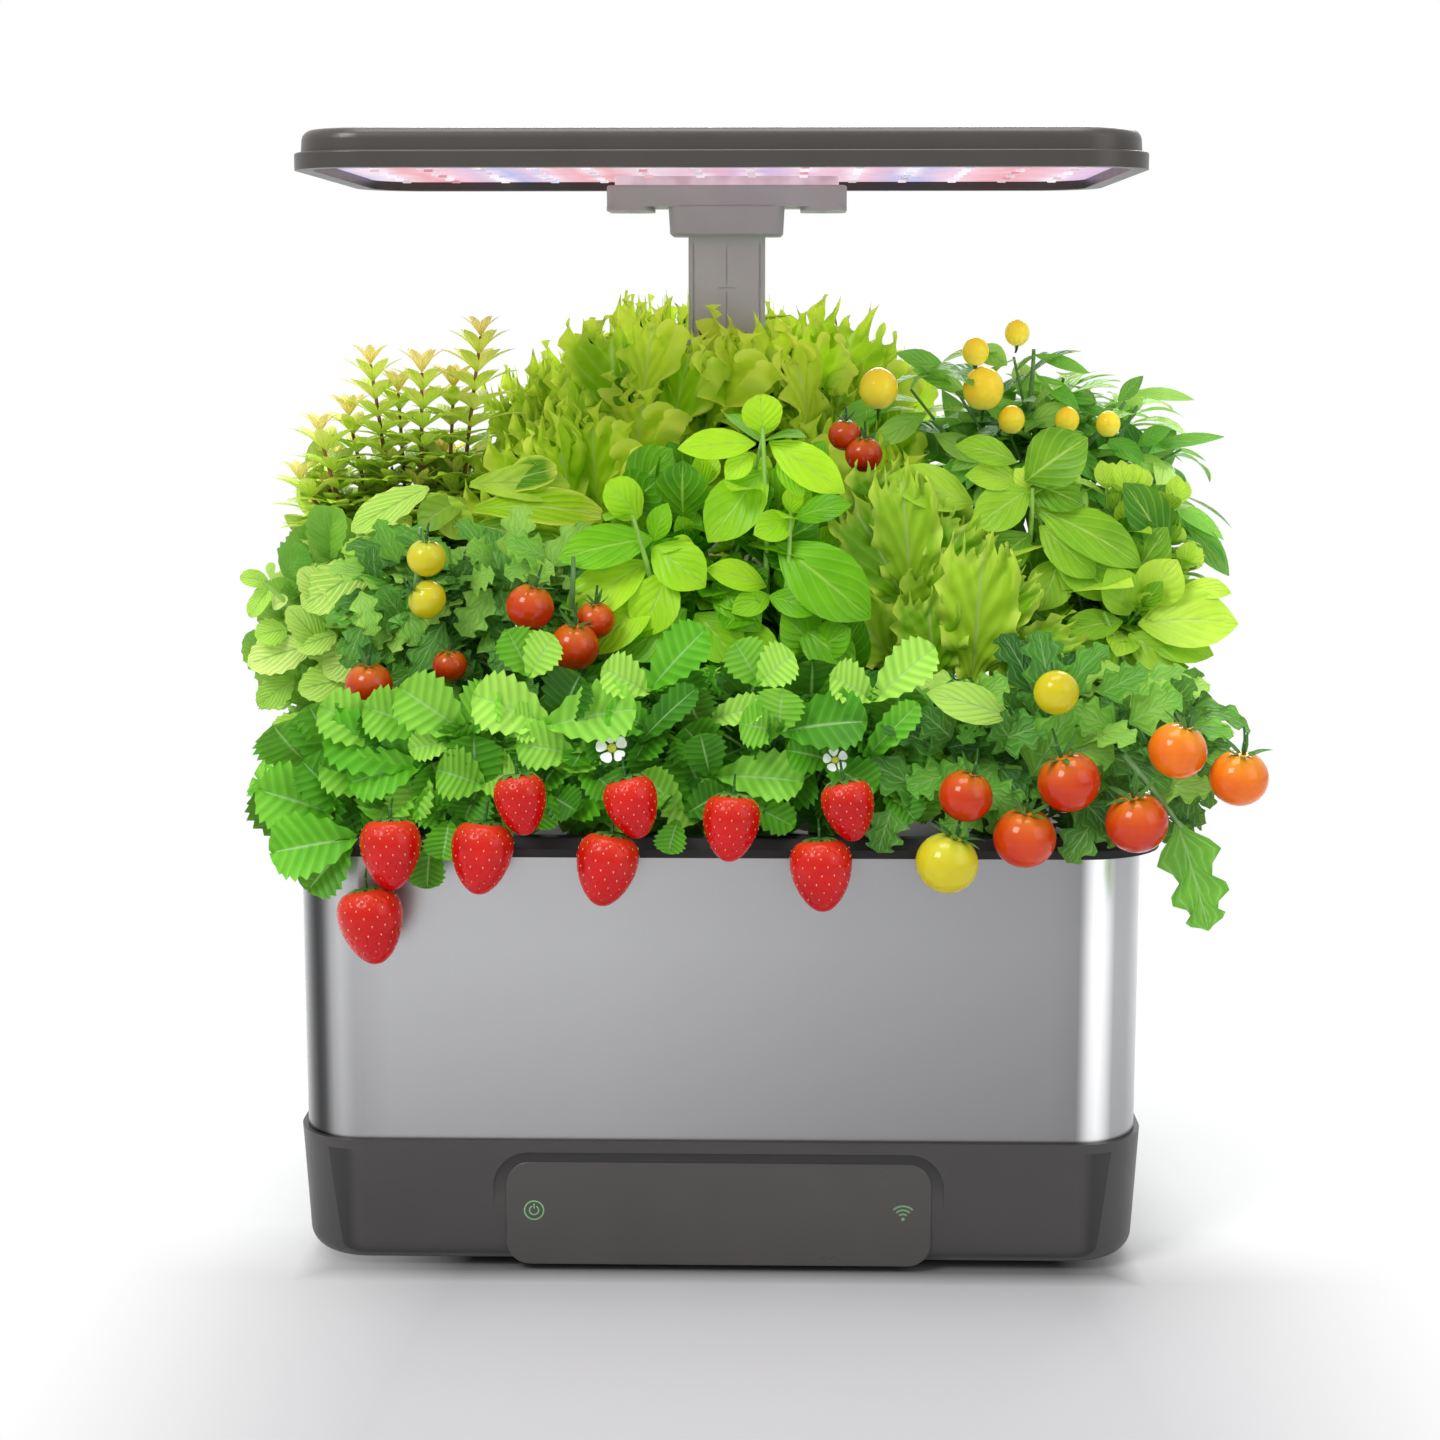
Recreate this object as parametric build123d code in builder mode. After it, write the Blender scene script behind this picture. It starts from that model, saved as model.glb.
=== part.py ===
from build123d import *

import os
from math import radians, tan

# Countertop hydroponic garden: a brushed steel sleeve round a water tank, on a moulded base with a
# touch panel, under a grow deck with twelve pods and a height-adjustable lamp. Millimetres, +Z up,
# front towards -Y. The origin is on the surface it stands on, under the middle of the body.

# Driving dimensions of the body
BODY_WIDTH = 385.0
BODY_DEPTH = 240.0
BODY_RADIUS = 30.0
SLEEVE_WALL = 0.8
SLEEVE_TOP = 195.5
FIT_GAP = 0.2

# Base housing
BASE_BOTTOM = 3.0
BASE_TOP = 62.0
BASE_TAPER = 3.4
BASE_WALL = 2.8
BASE_EDGE_RADIUS = 10.0
RIM_WALL = 2.6
SHELF_TOP = 57.0
SHELF_THICKNESS = 3.0
PLATE_LEDGE = 1.4
PLATE_WIDTH = 334.0
PLATE_DEPTH = 190.0
PLATE_RADIUS = 12.0
LEDGE_WIDTH = 8.0
FOOT_SPREAD_X = 300.0
FOOT_SPREAD_Y = 160.0
FOOT_RADIUS = 10.0
FOOT_SINK = 1.0
BASE_SCREW_POINTS = [(x, y) for x in (-155, 0, 155) for y in (-50, 50)]
SCREW_RADIUS = 1.45
SCREW_HOLE_RADIUS = 1.5

# Touch panel in the front of the base
PANEL_WIDTH = 195.0
PANEL_BOTTOM = 3.2
PANEL_TOP = 52.0
PANEL_FACE = 121.5
PANEL_BACK = 117.9
PANEL_TOP_RADIUS = 11.0
PANEL_FOOT_RADIUS = 3.0
RECESS_FACE = 120.9
RECESS_MARGIN = 5.5
BACKING_FACE = 114.8
BACKING_BOTTOM = 8.0
ICON_HEIGHT = 29.0
ICON_OFFSET = 84.5
ICON_DEPTH = 1.0

# Power inlet in the rear of the base
JACK_X = 120.0
JACK_Z = 30.0
JACK_BORE_RADIUS = 2.8
JACK_PIN_RADIUS = 1.05
JACK_NOSE_RADIUS = 4.6

# Water tank
TANK_FOOT_WIDTH = 360.0
TANK_FOOT_DEPTH = 215.0
TANK_FOOT_RADIUS = 16.0
TANK_TOP = 190.0
TANK_TAPER = 4.5
TANK_WALL = 2.6
TANK_EDGE_RADIUS = 8.0
TANK_RIM_HEIGHT = 2.5
TANK_RIM_WIDTH = 3.4
TANK_RIM_GAP = 0.3
TANK_RIM_RADIUS = 26.0
TANK_FLOOR = SHELF_TOP + TANK_WALL

# Pump on the tank floor, its shaft along X
PUMP_Y = 37.5
PUMP_SHAFT_Z = 78.0
PUMP_BOTTOM = 64.0
PUMP_TOP = 92.0
PUMP_FACE_X = 82.0
PUMP_BACK_X = 114.0
PUMP_DEPTH = 34.0
COVER_THICKNESS = 4.0
OUTLET_X = 87.0

# Grow deck
DECK_OVERHANG = 8.5
DECK_EDGE = 3.8
DECK_CREST = 204.0
DECK_TOP = 198.5
DECK_THICKNESS = 2.5
SKIRT_WALL = 2.5
SKIRT_DROP = 11.0
SKIRT_INSET = 6.5
SKIRT_RADIUS = 32.0
POD_COLUMNS = [-141.0, -47.0, 47.0, 141.0]
POD_ROWS = [-75.0, 0.0, 75.0]
POD_POINTS = [(x, y) for x in POD_COLUMNS for y in POD_ROWS]
POD_HOLE_RADIUS = 16.5
POD_FLANGE_RADIUS = 21.0
POD_FLANGE_TOP = 200.1
POD_BOTTOM = 146.0
SPONGE_TOP = 199.5

# Filling lid, hinged on the deck
FILL_Y = 20.0
FILL_WIDTH = 40.0
FILL_DEPTH = 30.0
LID_BOTTOM = 199.5
LID_THICKNESS = 2.0
HINGE_Y = 41.0
HINGE_Z = 202.4
HINGE_PIN_RADIUS = 1.2

# Level sensor hanging into the tank
SENSOR_POINT = (-94.0, 37.5)
SENSOR_STEM_RADIUS = 3.0
SENSOR_BOTTOM = 82.0

# Mast and lamp
MAST_Y = 72.0
MAST_WIDTH = 38.5
MAST_DEPTH = 20.0
MAST_BOTTOM = 245.0
SOCKET_BOTTOM = 179.0
SOCKET_TOP = 232.0
SHEATH_WIDTH = 44.0
SHEATH_DEPTH = 25.5
SHEATH_WALL = 2.35
SHEATH_TOP = 420.0
COLLAR_BOTTOM = 473.5
BRACKET_BOTTOM = 488.0
BRACKET_WIDTH = 120.0
BRACKET_DEPTH = 44.0
BRACKET_Y = 77.0
TAB_WIDTH = 23.0
TAB_DROP = 2.0
HOOD_BOTTOM = 498.5
HOOD_JOINT = 506.0
HOOD_TOP = 516.0
HOOD_Y = 8.0
HOOD_WIDTH = 381.0
HOOD_DEPTH = 242.0
HOOD_RADIUS = 34.0
HOOD_LIP = 8.0
WEB_THICKNESS = 1.5
BOARD_THICKNESS = 1.6
CHIP_SIZE = 4.0
CHIP_HEIGHT = 1.2
CHIP_PITCH_X = 25.5
CHIP_PITCH_Y = 27.0

# Crop: fruit hangs in front of the leaves, level with the front rim
MAST_ROOM = 3.0
FRUIT_Y = -143.5
CROWN_FRONT = -126.0
STEM_RADIUS = 4.0
STALK_RADIUS = 0.9
STALK_BEND = 226.0
STALK_LEAN = 0.96
CROWN_RISE = 8.0
CROWN_DEPTH = 12.0
CROWN_MARGIN = 22.0
KNEE_SWELL = 1.15
STRAWBERRY_RADIUS = 14.0
STRAWBERRY_HEIGHT = 32.0
# Strawberries: place across, height, and how far the stalk leans across to clear the berry above
BERRIES = [
    (-153, 167, -13),
    (-144, 199.5, 0),
    (-104, 198, 0),
    (-86, 222, 0),
    (-49, 193, -10),
    (-37, 221, 0),
    (6, 212, 0),
    (46, 191, -9),
    (58, 220, 0),
]
# Round fruit as (x, y, z, radius)
RED_TOMATOES = [
    (-86, -93, 304, 11),
    (-66, -93, 286, 11.5),
    (-160, -93, 268, 11),
    (135, -141, 208, 14),
    (109, -141, 226.5, 12),
    (154, -141, 233, 14),
    (184, -141, 215, 14),
]
YELLOW_TOMATOES = [
    (-133, -91, 326, 9),
    (-133, -91, 307, 9),
    (101, FRUIT_Y, 197, 14),
    (148, -138, 272, 10),
]
ORANGE_TOMATOES = [(201, -141, 247, 13), (228, -141, 235, 13)]
PEPPERS = [
    (75, 17, 399, 8.5),
    (122, 17, 417, 6),
    (126, 17, 399, 9),
    (142, 17, 426, 6),
    (167, 17, 384, 6),
]

# Each plant: its pod (column, row), the height where its stem bends, the stem's top, and its leafy
# masses as (x from, to), (y from, to), bottom, top and edge radius.
PLANTS = {
    "red_stem_herb": (
        (0, 2), 250, (-156, 74, 306),
        [
            ((-226, -114), (30, 151), 296, 376, 24),
            ((-204, -160), (50, 100), 348, 409, 12),
            ((-150, -116), (50, 100), 348, 422, 12),
        ],
    ),
    "curly_lettuce": (
        (1, 2), 250, (-60, 66, 312),
        [((-112, -1), (28, 151), 300, 408, 26), ((-68, -8), (32, 52), 380, 443, 9)],
    ),
    "leaf_lettuce": (
        (2, 2), 250, (50, 66, 312),
        [((0, 89), (28, 151), 300, 404, 26), ((32, 84), (34, 110), 374, 426, 9)],
    ),
    "pepper_plant": (
        (3, 2), 250, (162, 70, 304),
        [((91, 243), (30, 151), 292, 402, 30), ((114, 172), (34, 100), 368, 427, 12)],
    ),
    "mint": ((0, 1), 225, (-174, -8, 244), [((-238, -132), (-43, 25), 232, 346, 26)]),
    "basil": (
        (1, 1), 225, (-16, -24, 274),
        [((-57, 57), (-79, -13), 262, 376, 26), ((-8, 44), (-66, -26), 346, 397, 9)],
    ),
    "ruffled_lettuce": ((2, 1), 225, (88, -10, 270), [((59, 139), (-43, 25), 258, 350, 24)]),
    "tall_basil": ((3, 1), 225, (178, -8, 274), [((141, 240), (-43, 25), 262, 376, 26)]),
    "strawberry_plant_left": (
        (0, 0), 208, (-146, -98, 226), [((-206, -81), (CROWN_FRONT, -82), 206, 256, 18)],
    ),
    "tomato_plant_left": (
        (1, 0), 240, (-90, -62, 266), [((-166, -59), (-80, -45), 254, 334, 15)],
    ),
    "strawberry_plant_right": (
        (2, 0), 208, (40, -98, 226),
        [((-79, 95), (CROWN_FRONT, -82), 206, 268, 18), ((-45, 70), (-122, -86), 248, 292, 9)],
    ),
    "tomato_plant_right": (
        (3, 0), 210, (150, -84, 226), [((97, 237), (CROWN_FRONT, -46), 206, 278, 24)],
    ),
}
# The stretch across in which a plant carries strawberries
BERRY_REACH = {"strawberry_plant_left": (-206, -81), "strawberry_plant_right": (-79, 95)}


def slab(width, depth, radius, low, high, centre=(0, 0), taper=0.0, mode=Mode.ADD):
    """A level plate with rounded corners between two heights, drafted by taper degrees."""
    with BuildSketch(Plane.XY.offset(low)) as outline:
        with Locations(centre):
            RectangleRounded(width, depth, radius)
    extrude(outline.sketch, amount=high - low, taper=taper, mode=mode)


def tub(width, depth, radius, low, high, taper, edge_radius):
    """A drafted block with its bottom edge rounded, as a separate solid."""
    with BuildPart() as block:
        slab(width, depth, radius, low, high, taper=-taper)
        fillet(block.faces().sort_by(Axis.Z)[0].edges(), edge_radius)
    return block.part


def open_tub(width, depth, radius, low, high, taper, edge_radius, wall):
    """A drafted tub with an even wall and a rounded bottom edge, open at the top."""
    inset = 2 * wall * (1 - tan(radians(taper)))
    add(tub(width, depth, radius, low, high, taper, edge_radius))
    inside = tub(
        width - inset, depth - inset, radius - wall, low + wall, high + wall, taper, edge_radius - wall
    )
    add(inside, mode=Mode.SUBTRACT)


def discs(radius, low, high, points, mode=Mode.ADD):
    """Upright round pegs, or holes, of one radius at several points."""
    with BuildSketch(Plane.XY.offset(low)) as outline:
        with Locations(points):
            Circle(radius)
    extrude(outline.sketch, amount=high - low, mode=mode)


def rod_along_x(radius, start, end, y, z, mode=Mode.ADD):
    """A round bar, or bore, that lies along X."""
    with BuildSketch(Plane.YZ.offset(start)) as outline:
        with Locations((y, z)):
            Circle(radius)
    extrude(outline.sketch, amount=end - start, mode=mode)


def rod_along_y(radius, start, end, points, mode=Mode.ADD):
    """Round bars, or bores, that lie along Y at points given as (x, z)."""
    with BuildSketch(Plane.XZ.offset(-start)) as outline:
        with Locations(points):
            Circle(radius)
    extrude(outline.sketch, amount=start - end, mode=mode)


def front_outline(width, low, high, top_radius, foot_radius, face):
    """An upright panel outline seen from the front, on the plane y = -face."""
    with BuildSketch(Plane.XZ.offset(face)) as outline:
        with Locations((0, (low + high) / 2)):
            Rectangle(width, high - low)
        corners = outline.vertices().group_by(Axis.Z)
        fillet(corners[-1], top_radius)
        fillet(corners[0], foot_radius)
    return outline.sketch


def power_symbol():
    """A ring round a broken circle and a bar."""
    with BuildSketch(Plane.XZ.offset(PANEL_FACE)) as symbol:
        with Locations((-ICON_OFFSET, ICON_HEIGHT)):
            Circle(4.7)
            Circle(4.05, mode=Mode.SUBTRACT)
            Circle(2.4)
            Circle(1.8, mode=Mode.SUBTRACT)
        with Locations((-ICON_OFFSET, ICON_HEIGHT + 2.0)):
            Rectangle(1.8, 2.0, mode=Mode.SUBTRACT)
            Rectangle(0.6, 2.4)
    return symbol.sketch


def wireless_symbol():
    """Three arcs over a dot."""
    foot = ICON_HEIGHT - 3.0
    with BuildSketch(Plane.XZ.offset(PANEL_FACE)) as symbol:
        with Locations((ICON_OFFSET, foot)):
            for radius in (6.2, 4.3, 2.4):
                Circle(radius + 0.4)
                Circle(radius - 0.4, mode=Mode.SUBTRACT)
            Polygon((0, 0), (9, 9), (-9, 9), align=None, mode=Mode.INTERSECT)
            Circle(0.8)
    return symbol.sketch


def cushion(across, along, low, high, edge_radius):
    """A leafy mass as one block with rounded corners and top and bottom edges."""
    width, depth = across[1] - across[0], along[1] - along[0]
    centre = (sum(across) / 2, sum(along) / 2)
    corner_radius = min(edge_radius * 1.5, min(width, depth) / 2 - 0.5)
    with BuildPart() as mass:
        slab(width, depth, corner_radius, low, high, centre=centre)
        levels = mass.edges().group_by(Axis.Z)
        fillet(levels[0] + levels[-1], min(edge_radius, corner_radius - 0.5))
    return mass.part


def rod_between(start, end, radius):
    """A straight round bar between two points."""
    direction = Vector(*end) - Vector(*start)
    with BuildSketch(Plane(origin=start, z_dir=direction)) as section:
        Circle(radius)
    extrude(section.sketch, amount=direction.length)


def bent_stem(foot, knee, end, radius):
    """Round stem in two straight lengths with a thicker joint at the bend."""
    rod_between(foot, knee, radius)
    rod_between(knee, end, radius)
    with Locations(knee):
        Sphere(radius * KNEE_SWELL)


def strawberry_outline():
    """Half outline of a berry, blunt at the top and narrow at the tip, for one berry at the origin."""
    half = STRAWBERRY_HEIGHT / 2
    with BuildSketch(Plane.XZ) as outline:
        with BuildLine():
            Line((0, -half), (0, half))
            Line((0, half), (7, half))
            ThreePointArc((7, half), (12.3, 12), (STRAWBERRY_RADIUS, 6))
            ThreePointArc((STRAWBERRY_RADIUS, 6), (11.6, -4), (6, -12.6))
            ThreePointArc((6, -12.6), (4.2, -14.9), (1.5, -half))
            Line((1.5, -half), (0, -half))
        make_face()
    return outline.sketch


def write(builder, name):
    """Label a finished piece and write it under its node's name."""
    builder.part.label = name
    export_step(builder.part, f"parts/{name}.step")


os.makedirs("parts", exist_ok=True)

# ---------------------------------------------------------------- base housing
RIM_WIDTH = BODY_WIDTH + 2 * (FIT_GAP + RIM_WALL)
RIM_DEPTH = BODY_DEPTH + 2 * (FIT_GAP + RIM_WALL)
BASE_DRAFT = (BASE_TOP - BASE_BOTTOM) * tan(radians(BASE_TAPER))
BASE_WIDTH = RIM_WIDTH - 2 * BASE_DRAFT
BASE_DEPTH = RIM_DEPTH - 2 * BASE_DRAFT
PLATE_TOP = BASE_BOTTOM + BASE_WALL
SHELF_BOTTOM = SHELF_TOP - SHELF_THICKNESS
SHELF_DRAFT = (SHELF_BOTTOM - BASE_BOTTOM) * tan(radians(BASE_TAPER))
panel_outline = front_outline(
    PANEL_WIDTH, PANEL_BOTTOM, PANEL_TOP, PANEL_TOP_RADIUS, PANEL_FOOT_RADIUS, PANEL_FACE
)

with BuildPart() as base_shell:
    open_tub(
        BASE_WIDTH,
        BASE_DEPTH,
        BODY_RADIUS,
        BASE_BOTTOM,
        BASE_TOP,
        BASE_TAPER,
        BASE_EDGE_RADIUS,
        BASE_WALL,
    )
    # Shelf that the tank stands on, joined into the walls
    slab(
        BASE_WIDTH + 2 * SHELF_DRAFT - BASE_WALL,
        BASE_DEPTH + 2 * SHELF_DRAFT - BASE_WALL,
        BODY_RADIUS,
        SHELF_BOTTOM,
        SHELF_TOP,
    )
    # Upstanding rim that the steel sleeve drops into
    slab(
        BODY_WIDTH + 2 * FIT_GAP,
        BODY_DEPTH + 2 * FIT_GAP,
        BODY_RADIUS + FIT_GAP,
        SHELF_TOP,
        BASE_TOP + 1,
        mode=Mode.SUBTRACT,
    )
    # Service opening in the floor, with a ledge for its plate
    slab(PLATE_WIDTH, PLATE_DEPTH, PLATE_RADIUS, BASE_BOTTOM, PLATE_TOP, mode=Mode.SUBTRACT)
    slab(
        PLATE_WIDTH + 2 * LEDGE_WIDTH,
        PLATE_DEPTH + 2 * LEDGE_WIDTH,
        PLATE_RADIUS + LEDGE_WIDTH / 2,
        BASE_BOTTOM,
        BASE_BOTTOM + PLATE_LEDGE,
        mode=Mode.SUBTRACT,
    )
    discs(4.0, PLATE_TOP, SHELF_BOTTOM, BASE_SCREW_POINTS)
    discs(SCREW_HOLE_RADIUS, PLATE_TOP, PLATE_TOP + 14, BASE_SCREW_POINTS, mode=Mode.SUBTRACT)
    # Backing for the touch panel, then its shallow recess and the pocket that holds it
    with Locations((0, -PANEL_BACK, BACKING_BOTTOM)):
        Box(
            PANEL_WIDTH + 3 * RECESS_MARGIN,
            PANEL_BACK - BACKING_FACE,
            SHELF_BOTTOM - BACKING_BOTTOM,
            align=(Align.CENTER, Align.MIN, Align.MIN),
        )
    recess_outline = front_outline(
        PANEL_WIDTH + 2 * RECESS_MARGIN,
        BASE_BOTTOM - 1,
        PANEL_TOP + RECESS_MARGIN - 0.7,
        PANEL_TOP_RADIUS + RECESS_MARGIN,
        PANEL_FOOT_RADIUS,
        RECESS_FACE,
    )
    extrude(recess_outline, amount=5, mode=Mode.SUBTRACT)
    extrude(panel_outline, amount=-(PANEL_FACE - PANEL_BACK), mode=Mode.SUBTRACT)
    # Round hole for the power inlet
    rod_along_y(JACK_NOSE_RADIUS, 110, 125, [(JACK_X, JACK_Z)], mode=Mode.SUBTRACT)
write(base_shell, "base_shell")

with BuildPart() as base_plate:
    slab(
        PLATE_WIDTH + 2 * LEDGE_WIDTH - 2 * FIT_GAP,
        PLATE_DEPTH + 2 * LEDGE_WIDTH - 2 * FIT_GAP,
        PLATE_RADIUS + LEDGE_WIDTH / 2 - FIT_GAP,
        BASE_BOTTOM,
        BASE_BOTTOM + PLATE_LEDGE,
    )
    slab(
        PLATE_WIDTH - 2 * FIT_GAP,
        PLATE_DEPTH - 2 * FIT_GAP,
        PLATE_RADIUS - FIT_GAP,
        BASE_BOTTOM + PLATE_LEDGE,
        PLATE_TOP,
    )
    with BuildSketch(Plane.XY.offset(BASE_BOTTOM)):
        with GridLocations(FOOT_SPREAD_X, FOOT_SPREAD_Y, 2, 2):
            Circle(FOOT_RADIUS)
    extrude(amount=FOOT_SINK, mode=Mode.SUBTRACT)
    discs(3.2, BASE_BOTTOM, BASE_BOTTOM + PLATE_LEDGE, BASE_SCREW_POINTS, mode=Mode.SUBTRACT)
    discs(SCREW_HOLE_RADIUS, BASE_BOTTOM, PLATE_TOP, BASE_SCREW_POINTS, mode=Mode.SUBTRACT)
write(base_plate, "base_plate")

with BuildPart() as rubber_feet:
    with BuildSketch():
        with GridLocations(FOOT_SPREAD_X, FOOT_SPREAD_Y, 2, 2):
            Circle(FOOT_RADIUS)
    extrude(amount=BASE_BOTTOM + FOOT_SINK)
    fillet(rubber_feet.edges().group_by(Axis.Z)[0], 1.0)
write(rubber_feet, "rubber_feet")

with BuildPart() as base_screws:
    discs(2.8, BASE_BOTTOM + 0.2, BASE_BOTTOM + PLATE_LEDGE, BASE_SCREW_POINTS)
    discs(SCREW_RADIUS, BASE_BOTTOM + PLATE_LEDGE, PLATE_TOP + 12, BASE_SCREW_POINTS)
write(base_screws, "base_screws")

# ---------------------------------------------------------------- touch panel and electronics
power_outline = power_symbol()
wireless_outline = wireless_symbol()

with BuildPart() as control_panel:
    extrude(panel_outline, amount=-(PANEL_FACE - PANEL_BACK))
    fillet(control_panel.faces().sort_by(Axis.Y)[0].edges(), 0.8)
    extrude(power_outline, amount=-ICON_DEPTH, mode=Mode.SUBTRACT)
    extrude(wireless_outline, amount=-ICON_DEPTH, mode=Mode.SUBTRACT)
write(control_panel, "control_panel")

with BuildPart() as power_icon:
    extrude(power_outline, amount=-ICON_DEPTH)
write(power_icon, "power_icon")

with BuildPart() as wireless_icon:
    extrude(wireless_outline, amount=-ICON_DEPTH)
write(wireless_icon, "wireless_icon")

with BuildPart() as touch_board:
    with Locations((0, -BACKING_FACE, 30)):
        Box(190, BOARD_THICKNESS, 34, align=(Align.CENTER, Align.MIN, Align.CENTER))
    # Shielded radio module and a ribbon socket on the inner side
    with Locations((60, -BACKING_FACE + BOARD_THICKNESS, 30)):
        Box(24, 3, 18, align=(Align.CENTER, Align.MIN, Align.CENTER))
    with Locations((-30, -BACKING_FACE + BOARD_THICKNESS, 22)):
        Box(14, 5, 6, align=(Align.CENTER, Align.MIN, Align.CENTER))
write(touch_board, "touch_board")

DRIVER_Z = 44.0
with BuildPart() as lamp_driver_board:
    with Locations((90, 70, DRIVER_Z)):
        Box(100, 44, BOARD_THICKNESS, align=(Align.CENTER, Align.CENTER, Align.MIN))
    # Standoffs up to the underside of the shelf
    discs(2.5, DRIVER_Z + BOARD_THICKNESS, SHELF_BOTTOM, [(x, y) for x in (44, 136) for y in (52, 88)])
    # Coil, capacitors and a connector hang below the board
    discs(9.0, DRIVER_Z - 9, DRIVER_Z, [(70, 68)])
    discs(5.0, DRIVER_Z - 14, DRIVER_Z, [(92, 60), (92, 78)])
    with Locations((118, 70, DRIVER_Z)):
        Box(16, 12, 7, align=(Align.CENTER, Align.CENTER, Align.MAX))
write(lamp_driver_board, "lamp_driver_board")

JACK_FACE = 120.6
with BuildPart() as power_inlet:
    with Locations((JACK_X, 110, JACK_Z)):
        Box(11, 10, 12, align=(Align.CENTER, Align.CENTER, Align.CENTER))
    rod_along_y(JACK_NOSE_RADIUS - 0.05, 115, JACK_FACE, [(JACK_X, JACK_Z)])
    rod_along_y(JACK_BORE_RADIUS, 109, JACK_FACE, [(JACK_X, JACK_Z)], mode=Mode.SUBTRACT)
    rod_along_y(JACK_PIN_RADIUS, 109, JACK_FACE - 2.6, [(JACK_X, JACK_Z)])
write(power_inlet, "power_inlet")

# ---------------------------------------------------------------- steel sleeve and tank
with BuildPart() as steel_sleeve:
    slab(BODY_WIDTH, BODY_DEPTH, BODY_RADIUS, SHELF_TOP, SLEEVE_TOP)
    slab(
        BODY_WIDTH - 2 * SLEEVE_WALL,
        BODY_DEPTH - 2 * SLEEVE_WALL,
        BODY_RADIUS - SLEEVE_WALL,
        SHELF_TOP,
        SLEEVE_TOP,
        mode=Mode.SUBTRACT,
    )
write(steel_sleeve, "steel_sleeve")

with BuildPart() as water_tank:
    open_tub(
        TANK_FOOT_WIDTH,
        TANK_FOOT_DEPTH,
        TANK_FOOT_RADIUS,
        SHELF_TOP,
        TANK_TOP,
        TANK_TAPER,
        TANK_EDGE_RADIUS,
        TANK_WALL,
    )
    # Rim that closes the gap to the sleeve
    rim_width = BODY_WIDTH - 2 * (SLEEVE_WALL + TANK_RIM_GAP)
    rim_depth = BODY_DEPTH - 2 * (SLEEVE_WALL + TANK_RIM_GAP)
    slab(rim_width, rim_depth, BODY_RADIUS - SLEEVE_WALL, TANK_TOP, TANK_TOP + TANK_RIM_HEIGHT)
    slab(
        rim_width - 2 * TANK_RIM_WIDTH,
        rim_depth - 2 * TANK_RIM_WIDTH,
        TANK_RIM_RADIUS,
        TANK_TOP,
        TANK_TOP + TANK_RIM_HEIGHT,
        mode=Mode.SUBTRACT,
    )
write(water_tank, "water_tank")

# ---------------------------------------------------------------- pump
with BuildPart() as pump_housing:
    with BuildSketch(Plane.XY.offset(PUMP_BOTTOM)):
        with Locations(((PUMP_FACE_X + PUMP_BACK_X) / 2, PUMP_Y)):
            Rectangle(PUMP_BACK_X - PUMP_FACE_X, PUMP_DEPTH)
    extrude(amount=PUMP_TOP - PUMP_BOTTOM)
    fillet(pump_housing.edges().filter_by(Axis.Z).group_by(Axis.X)[-1], 5.0)
    rod_along_x(11.5, PUMP_FACE_X, PUMP_FACE_X + 10, PUMP_Y, PUMP_SHAFT_Z, mode=Mode.SUBTRACT)
    rod_along_x(5.5, PUMP_FACE_X + 10, PUMP_BACK_X - 3, PUMP_Y, PUMP_SHAFT_Z, mode=Mode.SUBTRACT)
    rod_along_x(1.0, PUMP_BACK_X - 3, PUMP_BACK_X - 1, PUMP_Y, PUMP_SHAFT_Z, mode=Mode.SUBTRACT)
    discs(4.0, PUMP_TOP, PUMP_TOP + 8, [(OUTLET_X, PUMP_Y)])
    discs(2.5, PUMP_SHAFT_Z + 8, PUMP_TOP + 8, [(OUTLET_X, PUMP_Y)], mode=Mode.SUBTRACT)
write(pump_housing, "pump_housing")

with BuildPart() as pump_cover:
    with Locations((PUMP_FACE_X - COVER_THICKNESS / 2, PUMP_Y, PUMP_SHAFT_Z)):
        Box(COVER_THICKNESS, PUMP_DEPTH, PUMP_TOP - PUMP_BOTTOM)
    # Intake slots above and below the shaft boss
    with BuildSketch(Plane.YZ.offset(PUMP_FACE_X - COVER_THICKNESS)):
        for side in (-1, 1):
            with Locations((PUMP_Y, PUMP_SHAFT_Z + side * 7)):
                with GridLocations(4, 1, 5, 1):
                    SlotOverall(6, 2, rotation=90)
    extrude(amount=COVER_THICKNESS, mode=Mode.SUBTRACT)
    rod_along_x(1.0, PUMP_FACE_X - 2, PUMP_FACE_X, PUMP_Y, PUMP_SHAFT_Z, mode=Mode.SUBTRACT)
write(pump_cover, "pump_cover")

with BuildPart() as pump_shaft:
    rod_along_x(1.0, PUMP_FACE_X - 2, PUMP_BACK_X - 1, PUMP_Y, PUMP_SHAFT_Z)
write(pump_shaft, "pump_shaft")

with BuildPart() as pump_impeller:
    rod_along_x(4.8, PUMP_FACE_X + 1, PUMP_BACK_X - 4, PUMP_Y, PUMP_SHAFT_Z)
    with BuildSketch(Plane.YZ.offset(PUMP_FACE_X + 1)):
        with Locations((PUMP_Y, PUMP_SHAFT_Z)):
            with PolarLocations(7.2, 6):
                Rectangle(6, 1.4)
    extrude(amount=7)
    rod_along_x(1.05, PUMP_FACE_X, PUMP_BACK_X, PUMP_Y, PUMP_SHAFT_Z, mode=Mode.SUBTRACT)
write(pump_impeller, "pump_impeller")

with BuildPart() as pump_suction_feet:
    with BuildSketch(Plane.XY.offset(TANK_FLOOR)):
        with Locations((98, PUMP_Y)):
            with GridLocations(20, 20, 2, 2):
                Circle(5)
    extrude(amount=PUMP_BOTTOM - TANK_FLOOR, taper=22)
write(pump_suction_feet, "pump_suction_feet")

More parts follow.
